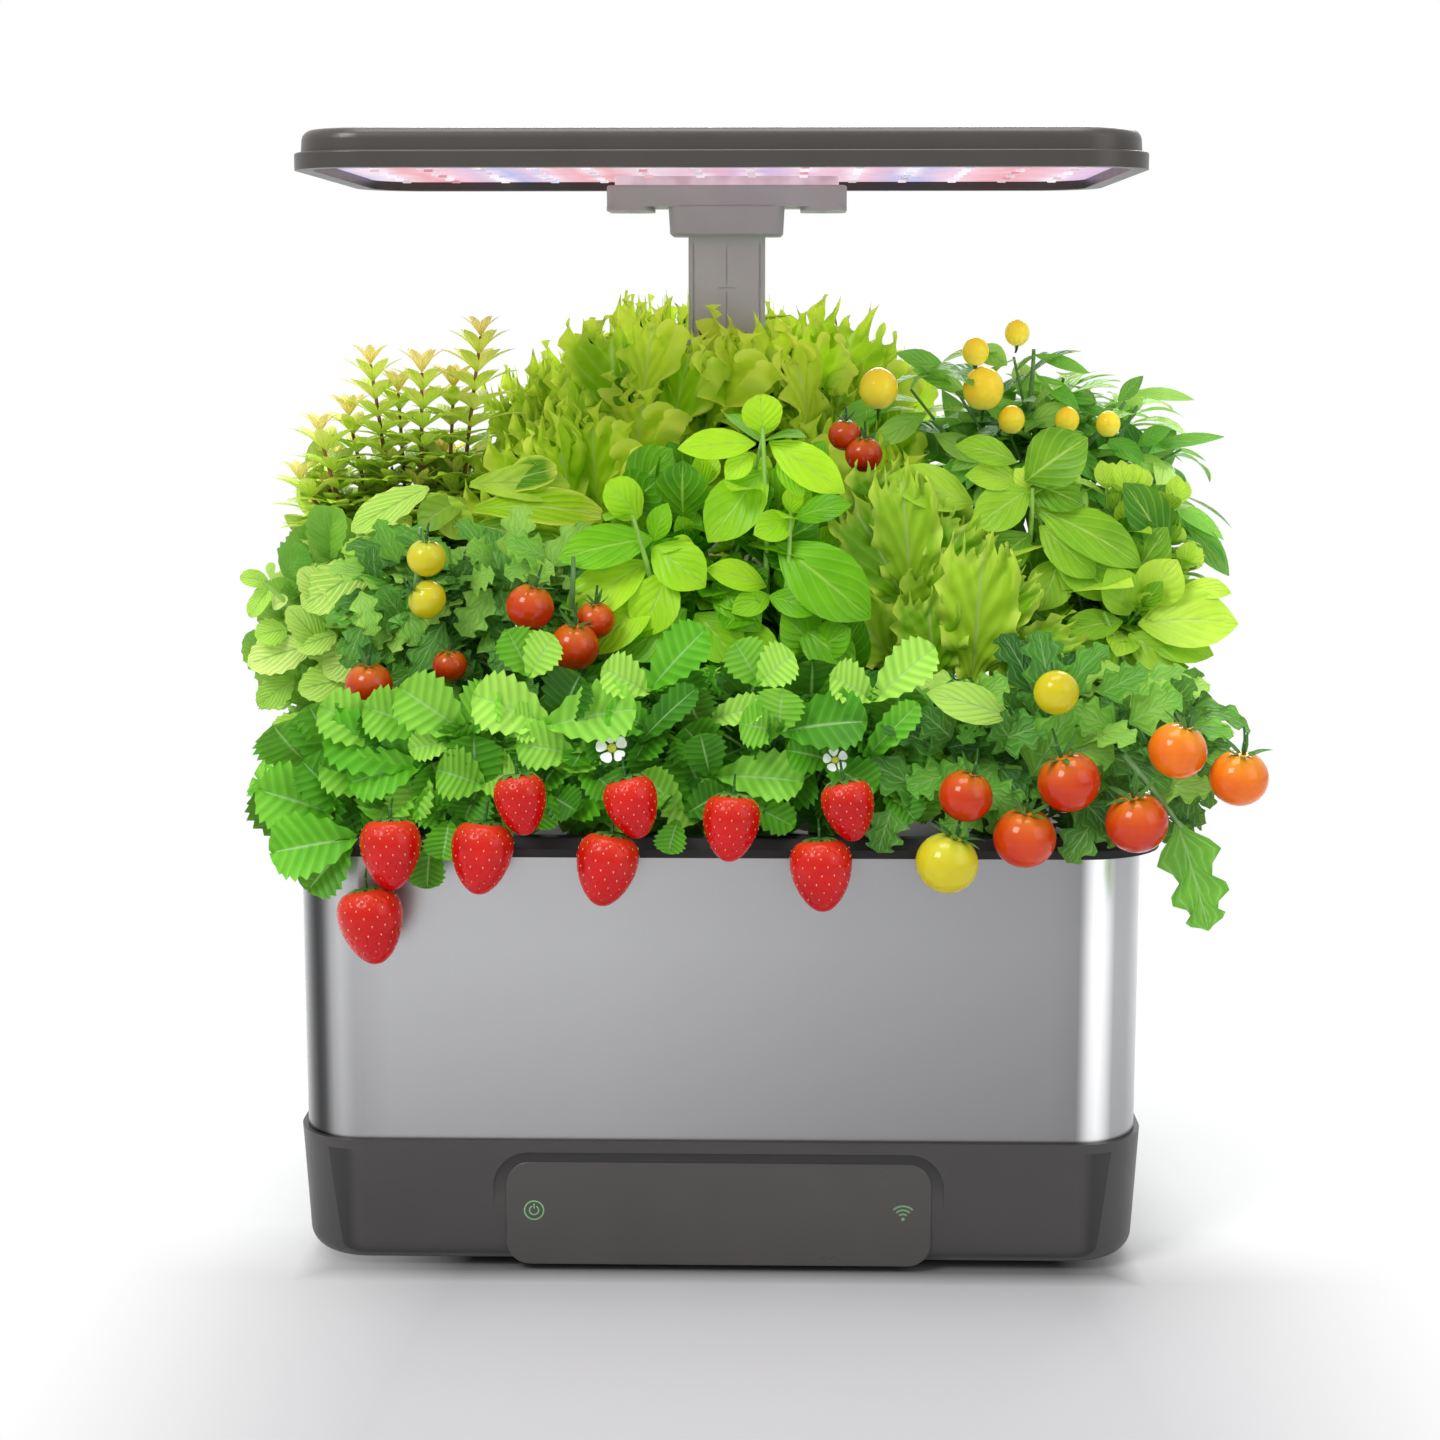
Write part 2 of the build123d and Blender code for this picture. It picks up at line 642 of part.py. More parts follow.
with BuildPart() as pump_outlet_hose:
    discs(6.0, PUMP_TOP + 1, 148, [(OUTLET_X, PUMP_Y)])
    discs(4.05, PUMP_TOP + 1, 148, [(OUTLET_X, PUMP_Y)], mode=Mode.SUBTRACT)
write(pump_outlet_hose, "pump_outlet_hose")

# ---------------------------------------------------------------- grow deck
DECK_WIDTH = BODY_WIDTH + 2 * DECK_OVERHANG
DECK_DEPTH = BODY_DEPTH + 2 * DECK_OVERHANG
DECK_UNDERSIDE = DECK_TOP - DECK_THICKNESS
EDGE_TOP = SLEEVE_TOP + DECK_EDGE

with BuildPart() as grow_deck:
    slab(DECK_WIDTH, DECK_DEPTH, BODY_RADIUS + DECK_OVERHANG, SLEEVE_TOP, EDGE_TOP)
    slab(
        DECK_WIDTH - 1,
        DECK_DEPTH - 1,
        BODY_RADIUS + DECK_OVERHANG - 0.5,
        EDGE_TOP,
        DECK_CREST,
        taper=30,
    )
    fillet(grow_deck.faces().sort_by(Axis.Z)[-1].edges(), 1.0)
    slab(BODY_WIDTH - 3, BODY_DEPTH - 3, BODY_RADIUS - 1.5, DECK_TOP, DECK_CREST, mode=Mode.SUBTRACT)
    # Skirt that centres the deck in the tank
    slab(
        BODY_WIDTH - 2 * SKIRT_INSET,
        BODY_DEPTH - 2 * SKIRT_INSET,
        SKIRT_RADIUS,
        SLEEVE_TOP - SKIRT_DROP,
        SLEEVE_TOP,
    )
    slab(
        BODY_WIDTH - 2 * (SKIRT_INSET + SKIRT_WALL),
        BODY_DEPTH - 2 * (SKIRT_INSET + SKIRT_WALL),
        SKIRT_RADIUS - SKIRT_WALL,
        SLEEVE_TOP - SKIRT_DROP,
        DECK_UNDERSIDE,
        mode=Mode.SUBTRACT,
    )
    # Stiffening ribs under the plate
    for rib_y in (-37.5, 46):
        with Locations((0, rib_y, DECK_UNDERSIDE)):
            Box(
                BODY_WIDTH - 2 * (SKIRT_INSET + SKIRT_WALL),
                2,
                6,
                align=(Align.CENTER, Align.CENTER, Align.MAX),
            )
    # Raised rings round the pods
    discs(POD_FLANGE_RADIUS + 2.2, DECK_TOP, POD_FLANGE_TOP, POD_POINTS)
    discs(POD_FLANGE_RADIUS + FIT_GAP, DECK_TOP, POD_FLANGE_TOP, POD_POINTS, mode=Mode.SUBTRACT)
    discs(POD_HOLE_RADIUS, DECK_UNDERSIDE, DECK_TOP, POD_POINTS, mode=Mode.SUBTRACT)
    # Filling mouth with its raised edge
    slab(FILL_WIDTH + 6, FILL_DEPTH + 6, 6, DECK_TOP, LID_BOTTOM, centre=(0, FILL_Y))
    slab(
        FILL_WIDTH, FILL_DEPTH, 4, DECK_UNDERSIDE, LID_BOTTOM, centre=(0, FILL_Y), mode=Mode.SUBTRACT
    )
    # Hinge ears for the lid
    with BuildSketch(Plane.YZ.offset(-18)) as ear_outline:
        with Locations((HINGE_Y, HINGE_Z)):
            Circle(2.6)
        with Locations((HINGE_Y, (DECK_TOP + HINGE_Z) / 2)):
            Rectangle(5.2, HINGE_Z - DECK_TOP)
    for ear_start in (0, 32):
        extrude(ear_outline.sketch.moved(Location((ear_start, 0, 0))), amount=4)
    rod_along_x(HINGE_PIN_RADIUS, -19, 19, HINGE_Y, HINGE_Z, mode=Mode.SUBTRACT)
    # Socket for the mast, above and below the plate
    slab(51, 33, 7, DECK_TOP, SOCKET_TOP, centre=(0, MAST_Y), taper=1)
    slab(50, 32, 6, SOCKET_BOTTOM - 3, DECK_UNDERSIDE, centre=(0, MAST_Y))
    slab(
        SHEATH_WIDTH + 0.2,
        SHEATH_DEPTH + 0.2,
        5.1,
        SOCKET_BOTTOM,
        SOCKET_TOP,
        centre=(0, MAST_Y),
        mode=Mode.SUBTRACT,
    )
    rod_along_y(SCREW_HOLE_RADIUS, MAST_Y + 10, 95, [(-12, 216), (12, 216)], mode=Mode.SUBTRACT)
    # Hole for the level sensor
    discs(SENSOR_STEM_RADIUS, DECK_UNDERSIDE, DECK_TOP, [SENSOR_POINT], mode=Mode.SUBTRACT)
write(grow_deck, "grow_deck")

with BuildPart() as pod_baskets:
    for pod in POD_POINTS:
        with BuildSketch(Plane.XZ.offset(-pod[1])) as wall_profile:
            with BuildLine():
                Polyline(
                    (pod[0], POD_BOTTOM),
                    (pod[0] + 12, POD_BOTTOM),
                    (pod[0] + 16.2, DECK_TOP),
                    (pod[0] + POD_FLANGE_RADIUS, DECK_TOP),
                    (pod[0] + POD_FLANGE_RADIUS, POD_FLANGE_TOP),
                    (pod[0] + 14.8, POD_FLANGE_TOP),
                    (pod[0] + 10.8, POD_BOTTOM + 1.4),
                    (pod[0], POD_BOTTOM + 1.4),
                    close=True,
                )
            make_face()
        revolve(wall_profile.sketch, axis=Axis((pod[0], pod[1], 0), (0, 0, 1)))
        # Root windows through the walls
        for angle in (0, 90):
            with Locations(Location((*pod, 166), (0, 0, angle))):
                Box(40, 7, 26, mode=Mode.SUBTRACT)
write(pod_baskets, "pod_baskets")

with BuildPart() as grow_sponges:
    with BuildSketch(Plane.XY.offset(POD_BOTTOM + 1.4)):
        with Locations(POD_POINTS):
            Circle(10.6)
    extrude(amount=SPONGE_TOP - POD_BOTTOM - 1.4, taper=-4.3)
write(grow_sponges, "grow_sponges")

with BuildPart() as fill_lid:
    slab(FILL_WIDTH + 6, FILL_DEPTH + 6, 6, LID_BOTTOM, LID_BOTTOM + LID_THICKNESS, centre=(0, FILL_Y))
    # Finger lip at the front
    slab(16, 8, 3.5, LID_BOTTOM, LID_BOTTOM + LID_THICKNESS, centre=(0, FILL_Y - 19))
    # Hinge barrel on an arm at the rear
    with Locations((0, FILL_Y + 20, LID_BOTTOM + LID_THICKNESS / 2)):
        Box(27, 6, LID_THICKNESS)
    rod_along_x(2.4, -13.5, 13.5, HINGE_Y, HINGE_Z)
    rod_along_x(HINGE_PIN_RADIUS + 0.05, -14, 14, HINGE_Y, HINGE_Z, mode=Mode.SUBTRACT)
write(fill_lid, "fill_lid")

with BuildPart() as fill_lid_pin:
    rod_along_x(HINGE_PIN_RADIUS, -18, 18, HINGE_Y, HINGE_Z)
write(fill_lid_pin, "fill_lid_pin")

with BuildPart() as level_sensor_stem:
    discs(SENSOR_STEM_RADIUS, SENSOR_BOTTOM, DECK_TOP, [SENSOR_POINT])
    discs(5.0, DECK_TOP, DECK_TOP + 2, [SENSOR_POINT])
    discs(5.0, SENSOR_BOTTOM, SENSOR_BOTTOM + 2, [SENSOR_POINT])
    discs(5.0, 152, 154, [SENSOR_POINT])
write(level_sensor_stem, "level_sensor_stem")

with BuildPart() as level_float:
    discs(11.0, SENSOR_BOTTOM + 2, SENSOR_BOTTOM + 16, [SENSOR_POINT])
    fillet(level_float.edges(), 2.0)
    discs(SENSOR_STEM_RADIUS + 0.08, SENSOR_BOTTOM, SENSOR_BOTTOM + 20, [SENSOR_POINT], mode=Mode.SUBTRACT)
write(level_float, "level_float")

# ---------------------------------------------------------------- mast
with BuildPart() as mast_sheath:
    slab(SHEATH_WIDTH, SHEATH_DEPTH, 5, SOCKET_BOTTOM, SHEATH_TOP, centre=(0, MAST_Y))
    slab(
        SHEATH_WIDTH - 2 * SHEATH_WALL,
        SHEATH_DEPTH - 2 * SHEATH_WALL,
        3.4,
        SOCKET_BOTTOM,
        SHEATH_TOP,
        centre=(0, MAST_Y),
        mode=Mode.SUBTRACT,
    )
    rod_along_y(SCREW_HOLE_RADIUS, MAST_Y + 10, 95, [(-12, 216), (12, 216)], mode=Mode.SUBTRACT)
write(mast_sheath, "mast_sheath")

with BuildPart() as mast_screws:
    rod_along_y(SCREW_RADIUS, MAST_Y + 10.7, MAST_Y + 16.5, [(-12, 216), (12, 216)])
    rod_along_y(2.8, MAST_Y + 16.5, MAST_Y + 18.3, [(-12, 216), (12, 216)])
write(mast_screws, "mast_screws")

MAST_FRONT = MAST_Y - MAST_DEPTH / 2
INDEX_TOP = 467.5
INDEX_PITCH = 40.0
INDEX_FIRST = 448.0
with BuildPart() as lamp_mast:
    slab(MAST_WIDTH, MAST_DEPTH, 3, MAST_BOTTOM, BRACKET_BOTTOM, centre=(0, MAST_Y))
    slab(
        MAST_WIDTH - 5, MAST_DEPTH - 5, 2, MAST_BOTTOM, BRACKET_BOTTOM, centre=(0, MAST_Y),
        mode=Mode.SUBTRACT,
    )
    # Two long grooves near the edges of the front face
    with BuildSketch(Plane.XZ.offset(-MAST_FRONT)):
        for groove_x in (-16.6, 16.6):
            with Locations((groove_x, (MAST_BOTTOM + COLLAR_BOTTOM) / 2)):
                Rectangle(0.9, COLLAR_BOTTOM - MAST_BOTTOM - 8)
    extrude(amount=-0.7, mode=Mode.SUBTRACT)
    # Height index: a broken centre line with a cross mark at every step
    with BuildSketch(Plane.XZ.offset(-MAST_FRONT)):
        for step in range(4):
            mark = INDEX_FIRST - step * INDEX_PITCH
            with Locations((0, mark)):
                Rectangle(8, 0.7)
            with Locations((0, mark + 11)):
                Rectangle(0.7, 17)
            with Locations((0, mark - 11)):
                Rectangle(0.7, 17)
    extrude(amount=-0.5, mode=Mode.SUBTRACT)
write(lamp_mast, "lamp_mast")

with BuildPart() as mast_glides:
    for face_y in (MAST_FRONT - 0.175, MAST_Y + MAST_DEPTH / 2 + 0.175):
        with Locations((0, face_y, MAST_BOTTOM + 25)):
            Box(24, 0.35, 36)
write(mast_glides, "mast_glides")

# ---------------------------------------------------------------- lamp
with BuildPart() as lamp_collar:
    slab(56.5, 34, 6, COLLAR_BOTTOM, BRACKET_BOTTOM, centre=(0, MAST_Y), taper=-3)
    chamfer(lamp_collar.faces().sort_by(Axis.Z)[0].edges(), 1.2)
    slab(MAST_WIDTH, MAST_DEPTH, 3, COLLAR_BOTTOM, BRACKET_BOTTOM, centre=(0, MAST_Y), mode=Mode.SUBTRACT)
write(lamp_collar, "lamp_collar")

TAB_X = BRACKET_WIDTH / 2 - TAB_WIDTH / 2
BRACKET_SCREWS = [(x, BRACKET_Y + y) for x in (-TAB_X + 1, TAB_X - 1) for y in (-12, 12)]
with BuildPart() as lamp_bracket:
    slab(BRACKET_WIDTH, BRACKET_DEPTH, 8, BRACKET_BOTTOM, HOOD_BOTTOM, centre=(0, BRACKET_Y))
    for tab_x in (-TAB_X, TAB_X):
        slab(
            TAB_WIDTH, BRACKET_DEPTH, 6, BRACKET_BOTTOM - TAB_DROP, BRACKET_BOTTOM,
            centre=(tab_x, BRACKET_Y),
        )
    fillet(lamp_bracket.faces().sort_by(Axis.Z)[-1].edges(), 1.2)
    discs(3.1, BRACKET_BOTTOM - TAB_DROP, BRACKET_BOTTOM + 2, BRACKET_SCREWS, mode=Mode.SUBTRACT)
    discs(SCREW_HOLE_RADIUS, BRACKET_BOTTOM, HOOD_BOTTOM, BRACKET_SCREWS, mode=Mode.SUBTRACT)
write(lamp_bracket, "lamp_bracket")

WEB_BOTTOM = HOOD_JOINT - WEB_THICKNESS
with BuildPart() as hood_frame:
    slab(HOOD_WIDTH, HOOD_DEPTH, HOOD_RADIUS, HOOD_BOTTOM, HOOD_JOINT, centre=(0, HOOD_Y))
    fillet(hood_frame.faces().sort_by(Axis.Z)[-1].edges(), 1.0)
    slab(
        HOOD_WIDTH - 2 * HOOD_LIP,
        HOOD_DEPTH - 2 * HOOD_LIP,
        HOOD_RADIUS - HOOD_LIP,
        HOOD_BOTTOM,
        WEB_BOTTOM,
        centre=(0, HOOD_Y),
        mode=Mode.SUBTRACT,
    )
    # Mounting pad for the bracket
    slab(BRACKET_WIDTH - 8, BRACKET_DEPTH - 6, 6, HOOD_BOTTOM, WEB_BOTTOM, centre=(0, BRACKET_Y))
    discs(SCREW_HOLE_RADIUS, HOOD_BOTTOM, WEB_BOTTOM, BRACKET_SCREWS, mode=Mode.SUBTRACT)
write(hood_frame, "hood_frame")

with BuildPart() as hood_screws:
    discs(2.8, BRACKET_BOTTOM, BRACKET_BOTTOM + 2, BRACKET_SCREWS)
    discs(SCREW_RADIUS, BRACKET_BOTTOM + 2, WEB_BOTTOM - 1, BRACKET_SCREWS)
write(hood_screws, "hood_screws")

BOARD_BOTTOM = WEB_BOTTOM - BOARD_THICKNESS
with BuildPart() as led_board:
    slab(
        HOOD_WIDTH - 2 * HOOD_LIP - 0.4,
        HOOD_DEPTH - 2 * HOOD_LIP - 0.4,
        HOOD_RADIUS - HOOD_LIP - 0.2,
        BOARD_BOTTOM,
        WEB_BOTTOM,
        centre=(0, HOOD_Y),
    )
    slab(
        BRACKET_WIDTH - 7.6,
        BRACKET_DEPTH - 5.6,
        6.2,
        BOARD_BOTTOM,
        WEB_BOTTOM,
        centre=(0, BRACKET_Y),
        mode=Mode.SUBTRACT,
    )
write(led_board, "led_board")


def chip_points(wanted):
    """Places of the light chips of one colour, keeping clear of the bracket."""
    points = []
    for column in range(14):
        for row in range(8):
            x = (column - 6.5) * CHIP_PITCH_X
            y = HOOD_Y + (row - 3.5) * CHIP_PITCH_Y
            red = column in (1, 5, 8, 12) and (row + column) % 2 == 0
            blue = column in (3, 10) and (row + column) % 2 == 0
            colour = "red" if red else "blue" if blue else "white"
            near_bracket = abs(x) < 62 and abs(y - BRACKET_Y) < 26
            if colour == wanted and not near_bracket:
                points.append((x, y))
    return points


for chip_colour in ("white", "red", "blue"):
    with BuildPart() as chips:
        with BuildSketch(Plane.XY.offset(BOARD_BOTTOM - CHIP_HEIGHT)):
            with Locations(chip_points(chip_colour)):
                Rectangle(CHIP_SIZE, CHIP_SIZE)
        extrude(amount=CHIP_HEIGHT)
    write(chips, f"{chip_colour}_leds")

with BuildPart() as hood_cover:
    slab(HOOD_WIDTH - 6, HOOD_DEPTH - 6, HOOD_RADIUS - 3, HOOD_JOINT, HOOD_TOP, centre=(0, HOOD_Y), taper=4)
    fillet(hood_cover.faces().sort_by(Axis.Z)[-1].edges(), 5.0)
    slab(
        HOOD_WIDTH - 12, HOOD_DEPTH - 12, HOOD_RADIUS - 6, HOOD_JOINT, HOOD_TOP - 2.5,
        centre=(0, HOOD_Y), mode=Mode.SUBTRACT,
    )
write(hood_cover, "hood_cover")

# ---------------------------------------------------------------- fruit
with BuildPart(mode=Mode.PRIVATE) as one_berry:
    revolve(strawberry_outline(), axis=Axis.Z)

with BuildPart() as strawberries:
    for berry_x, berry_z, _ in BERRIES:
        with Locations((berry_x, FRUIT_Y, berry_z)):
            add(one_berry.part)
write(strawberries, "strawberries")

for fruit_name, fruit_list in (
    ("red_tomatoes", RED_TOMATOES),
    ("orange_tomatoes", ORANGE_TOMATOES),
    ("yellow_tomatoes", YELLOW_TOMATOES),
    ("small_peppers", PEPPERS),
):
    with BuildPart() as round_fruit:
        for fruit_x, fruit_y, fruit_z, fruit_radius in fruit_list:
            with Locations((fruit_x, fruit_y, fruit_z)):
                Sphere(fruit_radius)
    write(round_fruit, fruit_name)

# ---------------------------------------------------------------- plants
for plant_name, (pod, knee_height, stem_top, masses) in PLANTS.items():
    pod_x, pod_y = POD_COLUMNS[pod[0]], POD_ROWS[pod[1]]
    with BuildPart() as plant:
        for mass in masses:
            add(cushion(*mass))
        # The leaves part round the mast
        with Locations((0, MAST_Y, HOOD_BOTTOM / 2)):
            Box(
                SHEATH_WIDTH + 2 * MAST_ROOM,
                SHEATH_DEPTH + 2 * MAST_ROOM,
                HOOD_BOTTOM,
                mode=Mode.SUBTRACT,
            )
        bent_stem((pod_x, pod_y, SPONGE_TOP), (pod_x, pod_y, knee_height), stem_top, STEM_RADIUS)
        reach_from, reach_to = BERRY_REACH.get(plant_name, (0, 0))
        for berry_x, berry_z, stalk_shift in BERRIES:
            if reach_from < berry_x < reach_to:
                berry_top = berry_z + STRAWBERRY_HEIGHT / 2
                bend = (berry_x + stalk_shift, FRUIT_Y, max(berry_top + 4, STALK_BEND))
                crown_x = min(bend[0] * STALK_LEAN, reach_to - CROWN_MARGIN)
                crown_point = (crown_x, CROWN_FRONT + CROWN_DEPTH, bend[2] + CROWN_RISE)
                bent_stem((berry_x, FRUIT_Y, berry_top), bend, crown_point, STALK_RADIUS)
    write(plant, plant_name)
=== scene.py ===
"""Countertop hydroponic garden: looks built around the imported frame, in metres, front towards -Y."""
import logging
import math
import random
from dataclasses import dataclass, field
from enum import Enum

import bmesh
import bpy
import numpy as np
from mathutils import Matrix, Vector


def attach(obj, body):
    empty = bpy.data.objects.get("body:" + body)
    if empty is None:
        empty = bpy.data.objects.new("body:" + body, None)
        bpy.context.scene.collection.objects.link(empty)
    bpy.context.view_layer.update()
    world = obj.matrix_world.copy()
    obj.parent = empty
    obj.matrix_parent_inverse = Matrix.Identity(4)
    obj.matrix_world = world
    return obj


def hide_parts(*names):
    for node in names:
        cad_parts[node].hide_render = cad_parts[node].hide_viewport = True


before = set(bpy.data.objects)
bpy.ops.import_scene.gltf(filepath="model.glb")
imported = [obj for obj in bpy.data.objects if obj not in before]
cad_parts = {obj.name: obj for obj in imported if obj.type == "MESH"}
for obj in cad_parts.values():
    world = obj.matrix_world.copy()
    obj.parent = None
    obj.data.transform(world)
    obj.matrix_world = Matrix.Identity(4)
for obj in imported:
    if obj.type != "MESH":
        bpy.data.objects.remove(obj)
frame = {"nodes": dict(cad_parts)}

LOG = logging.getLogger("garden")
MM = 0.001
Colour = tuple[float, float, float]
Point = tuple[float, float, float]
UP = Vector((0.0, 0.0, 1.0))
FRONT = Vector((0.0, -1.0, 0.35))

# These are in millimetres. Tops of the sponges, where stems start, and lowest filling leaves
POD_TOP, LEAF_FLOOR = 196.0, 202.0
# Front and level of the deck's rim
RIM_FRONT, RIM_LEVEL = -129.0, 206.0
# Room that the mast takes between the plants
MAST_HALF, MAST_FRONT, MAST_REAR = 28.0, 50.0, 94.0
# Middle of the mast and the half sizes of the column that leaves keep clear of, with its lamp collar
MAST_Y, COLUMN_HALF, COLUMN_DEPTH = 72.0, 33.0, 22.0
# How far aside a leaf's middle has to be to go beside the mast, not in front of it or behind
COLUMN_SIDE = 31.0
# Middle and half sizes of the lamp's bracket, and the level that leaves stay under while the lamp is down
BRACKET_Y, BRACKET_HALF, BRACKET_DEPTH, BRACKET_LOW = 77.0, 66.0, 28.0, 445.0


# ---------------------------------------------------------------- node wiring
class Recipe:
    """A node tree with short calls for the nodes that this object's materials need."""

    def __init__(self, name: str, world: bpy.types.World | None = None) -> None:
        """Start an empty material, or empty a world's nodes.

        Args:
            name: name of the new material.
            world: the world to make nodes for, in place of a material.
        """
        self.material = world or bpy.data.materials.new(name)
        self.material.use_nodes = True
        self.tree = self.material.node_tree
        self.tree.nodes.clear()
        self.output = self.tree.nodes.new(f"ShaderNodeOutput{'World' if world else 'Material'}")

    def node(self, kind: str, **settings: object) -> bpy.types.Node:
        """Add a node.

        Args:
            kind: Blender's node type.
            settings: node properties, or input values under their socket names.

        Returns:
            The new node.
        """
        made = self.tree.nodes.new(kind)
        for key, value in settings.items():
            if key in made.bl_rna.properties:
                setattr(made, key, value)
            else:
                self.put(made.inputs[key.replace("_", " ")], value)
        return made

    def put(self, socket: bpy.types.NodeSocket, value: object) -> None:
        """Link a socket to another node's output, or set its plain value."""
        if isinstance(value, bpy.types.NodeSocket):
            self.tree.links.new(value, socket)
        elif isinstance(value, tuple) and len(value) == 3 and socket.type == "RGBA":
            socket.default_value = (*value, 1.0)
        else:
            socket.default_value = value

    def math(
        self, operation: str, first: object, second: object = 0.0, third: object = 0.0, clamp: bool = False
    ) -> object:
        """Combine up to three numbers and return the result's socket."""
        made = self.node("ShaderNodeMath", operation=operation, use_clamp=clamp)
        for socket, value in zip(made.inputs, (first, second, third)):
            self.put(socket, value)
        return made.outputs[0]

    def mix(self, factor: object, first: object, second: object, blend: str = "MIX") -> object:
        """Mix two colours and return the result's socket."""
        made = self.node("ShaderNodeMix", data_type="RGBA", blend_type=blend)
        self.put(made.inputs["Factor"], factor)
        self.put(made.inputs[6], first)
        self.put(made.inputs[7], second)
        return made.outputs[2]

    def ramp(self, factor: object, stops: list[tuple[float, Colour]]) -> object:
        """Turn a number into a colour by a list of stops and return the colour's socket."""
        made = self.node("ShaderNodeValToRGB")
        band = made.color_ramp
        while len(band.elements) < len(stops):
            band.elements.new(0.5)
        for element, (place, colour) in zip(band.elements, stops):
            element.position = place
            element.color = (*colour, 1.0)
        self.put(made.inputs[0], factor)
        return made.outputs[0]

    def place(self, scale: Point = (1.0, 1.0, 1.0), centre: Point = (0.0, 0.0, 0.0)) -> object:
        """Object coordinates through a Mapping node, as a socket."""
        where = self.node("ShaderNodeTexCoord").outputs["Object"]
        made = self.node("ShaderNodeMapping", Scale=scale, Location=centre)
        self.put(made.inputs["Vector"], where)
        return made.outputs[0]

    def axes(self) -> list[bpy.types.NodeSocket]:
        """The X, Y and Z of object coordinates, as three sockets."""
        split = self.node("ShaderNodeSeparateXYZ")
        self.put(split.inputs[0], self.place())
        return list(split.outputs)

    def noise(self, scale: float, detail: float = 3.0, where: object = None, rough: float = 0.5) -> object:
        """A noise value between 0 and 1 on object coordinates, as a socket."""
        made = self.node("ShaderNodeTexNoise", Scale=scale, Detail=detail, Roughness=rough)
        self.put(made.inputs["Vector"], where if where is not None else self.place())
        return made.outputs[0]

    def bump(self, height: object, strength: float, distance: float) -> object:
        """A bumped normal from a height, as a socket."""
        made = self.node("ShaderNodeBump", Strength=strength, Distance=distance)
        self.put(made.inputs["Height"], height)
        return made.outputs[0]

    def surface(self, **settings: object) -> None:
        """Finish with one Principled shader.

        Args:
            settings: its input values under their socket names, with _ for a space.
        """
        shader = self.node("ShaderNodeBsdfPrincipled", **settings)
        self.put(self.output.inputs[0], shader.outputs[0])

    def blend(self, share: object, first: bpy.types.Node, second: bpy.types.Node) -> None:
        """Finish with a mix of two shaders.

        Args:
            share: how much of the second shows, as a number or a socket.
            first: one shader node.
            second: the other.
        """
        both = self.node("ShaderNodeMixShader", Fac=share)
        for socket, shader in zip(both.inputs[1:], (first, second)):
            self.put(socket, shader.outputs[0])
        self.put(self.output.inputs[0], both.outputs[0])


# ---------------------------------------------------------------- finishes
@dataclass(frozen=True)
class MouldedPlastic:
    """Satin moulded plastic with a fine grain and faint tone changes."""

    name: str
    colour: Colour
    roughness: float = 0.42
    grain: float = 2600.0
    depth: float = 0.00003
    shine: float = 0.4

    def make(self) -> bpy.types.Material:
        """Build the material."""
        recipe = Recipe(self.name)
        tone = recipe.noise(18.0, 4.0)
        dark = tuple(c * 0.90 for c in self.colour)
        light = tuple(min(1.0, c * 1.08) for c in self.colour)
        colour = self.tint(recipe, recipe.ramp(tone, [(0.3, dark), (0.7, light)]))
        fine = recipe.noise(self.grain, 2.0)
        gloss = recipe.math("MULTIPLY_ADD", recipe.noise(60.0, 3.0), 0.12, self.roughness - 0.06)
        recipe.surface(
            Base_Color=colour, Roughness=gloss, Specular_IOR_Level=self.shine,
            Normal=recipe.bump(fine, 0.25, self.depth), **self.glow(recipe),
        )
        return recipe.material

    def tint(self, recipe: Recipe, colour: object) -> object:
        """Change the colour by place; plain plastic keeps it."""
        return colour

    def glow(self, recipe: Recipe) -> dict[str, object]:
        """Shader settings for light painted on the plastic as a glow; plain plastic has none."""
        return {}


@dataclass(frozen=True)
class BasePlastic(MouldedPlastic):
    """The base's plastic, with shade painted where the panel's recess lies behind the drafted front; places
    in metres.
    """

    foot: float = 0.1192
    draft: float = 0.0594
    # How dark the painted shade in the recess gets
    shade: float = 0.85
    slack: float = 0.0003
    recess_rear: float = -0.1175
    recess_top: float = 0.0575

    def tint(self, recipe: Recipe, colour: object) -> object:
        """Paint shade into the recess, darker the deeper it lies."""
        _, place, level = recipe.axes()
        front = recipe.math("MULTIPLY_ADD", level, self.draft, self.foot)
        depth = recipe.math("ADD", place, front)
        deep = recipe.math("MULTIPLY", recipe.math("SUBTRACT", depth, self.slack), 1.0 / MM, clamp=True)
        ahead = recipe.math("LESS_THAN", place, self.recess_rear)
        below = recipe.math("LESS_THAN", level, self.recess_top)
        share = recipe.math("MULTIPLY", recipe.math("MULTIPLY", deep, ahead), below)
        # Colour of the painted shade in the recess
        dark = tuple(c * 0.2 for c in self.colour)
        return recipe.mix(recipe.math("MULTIPLY", share, self.shade), colour, dark)


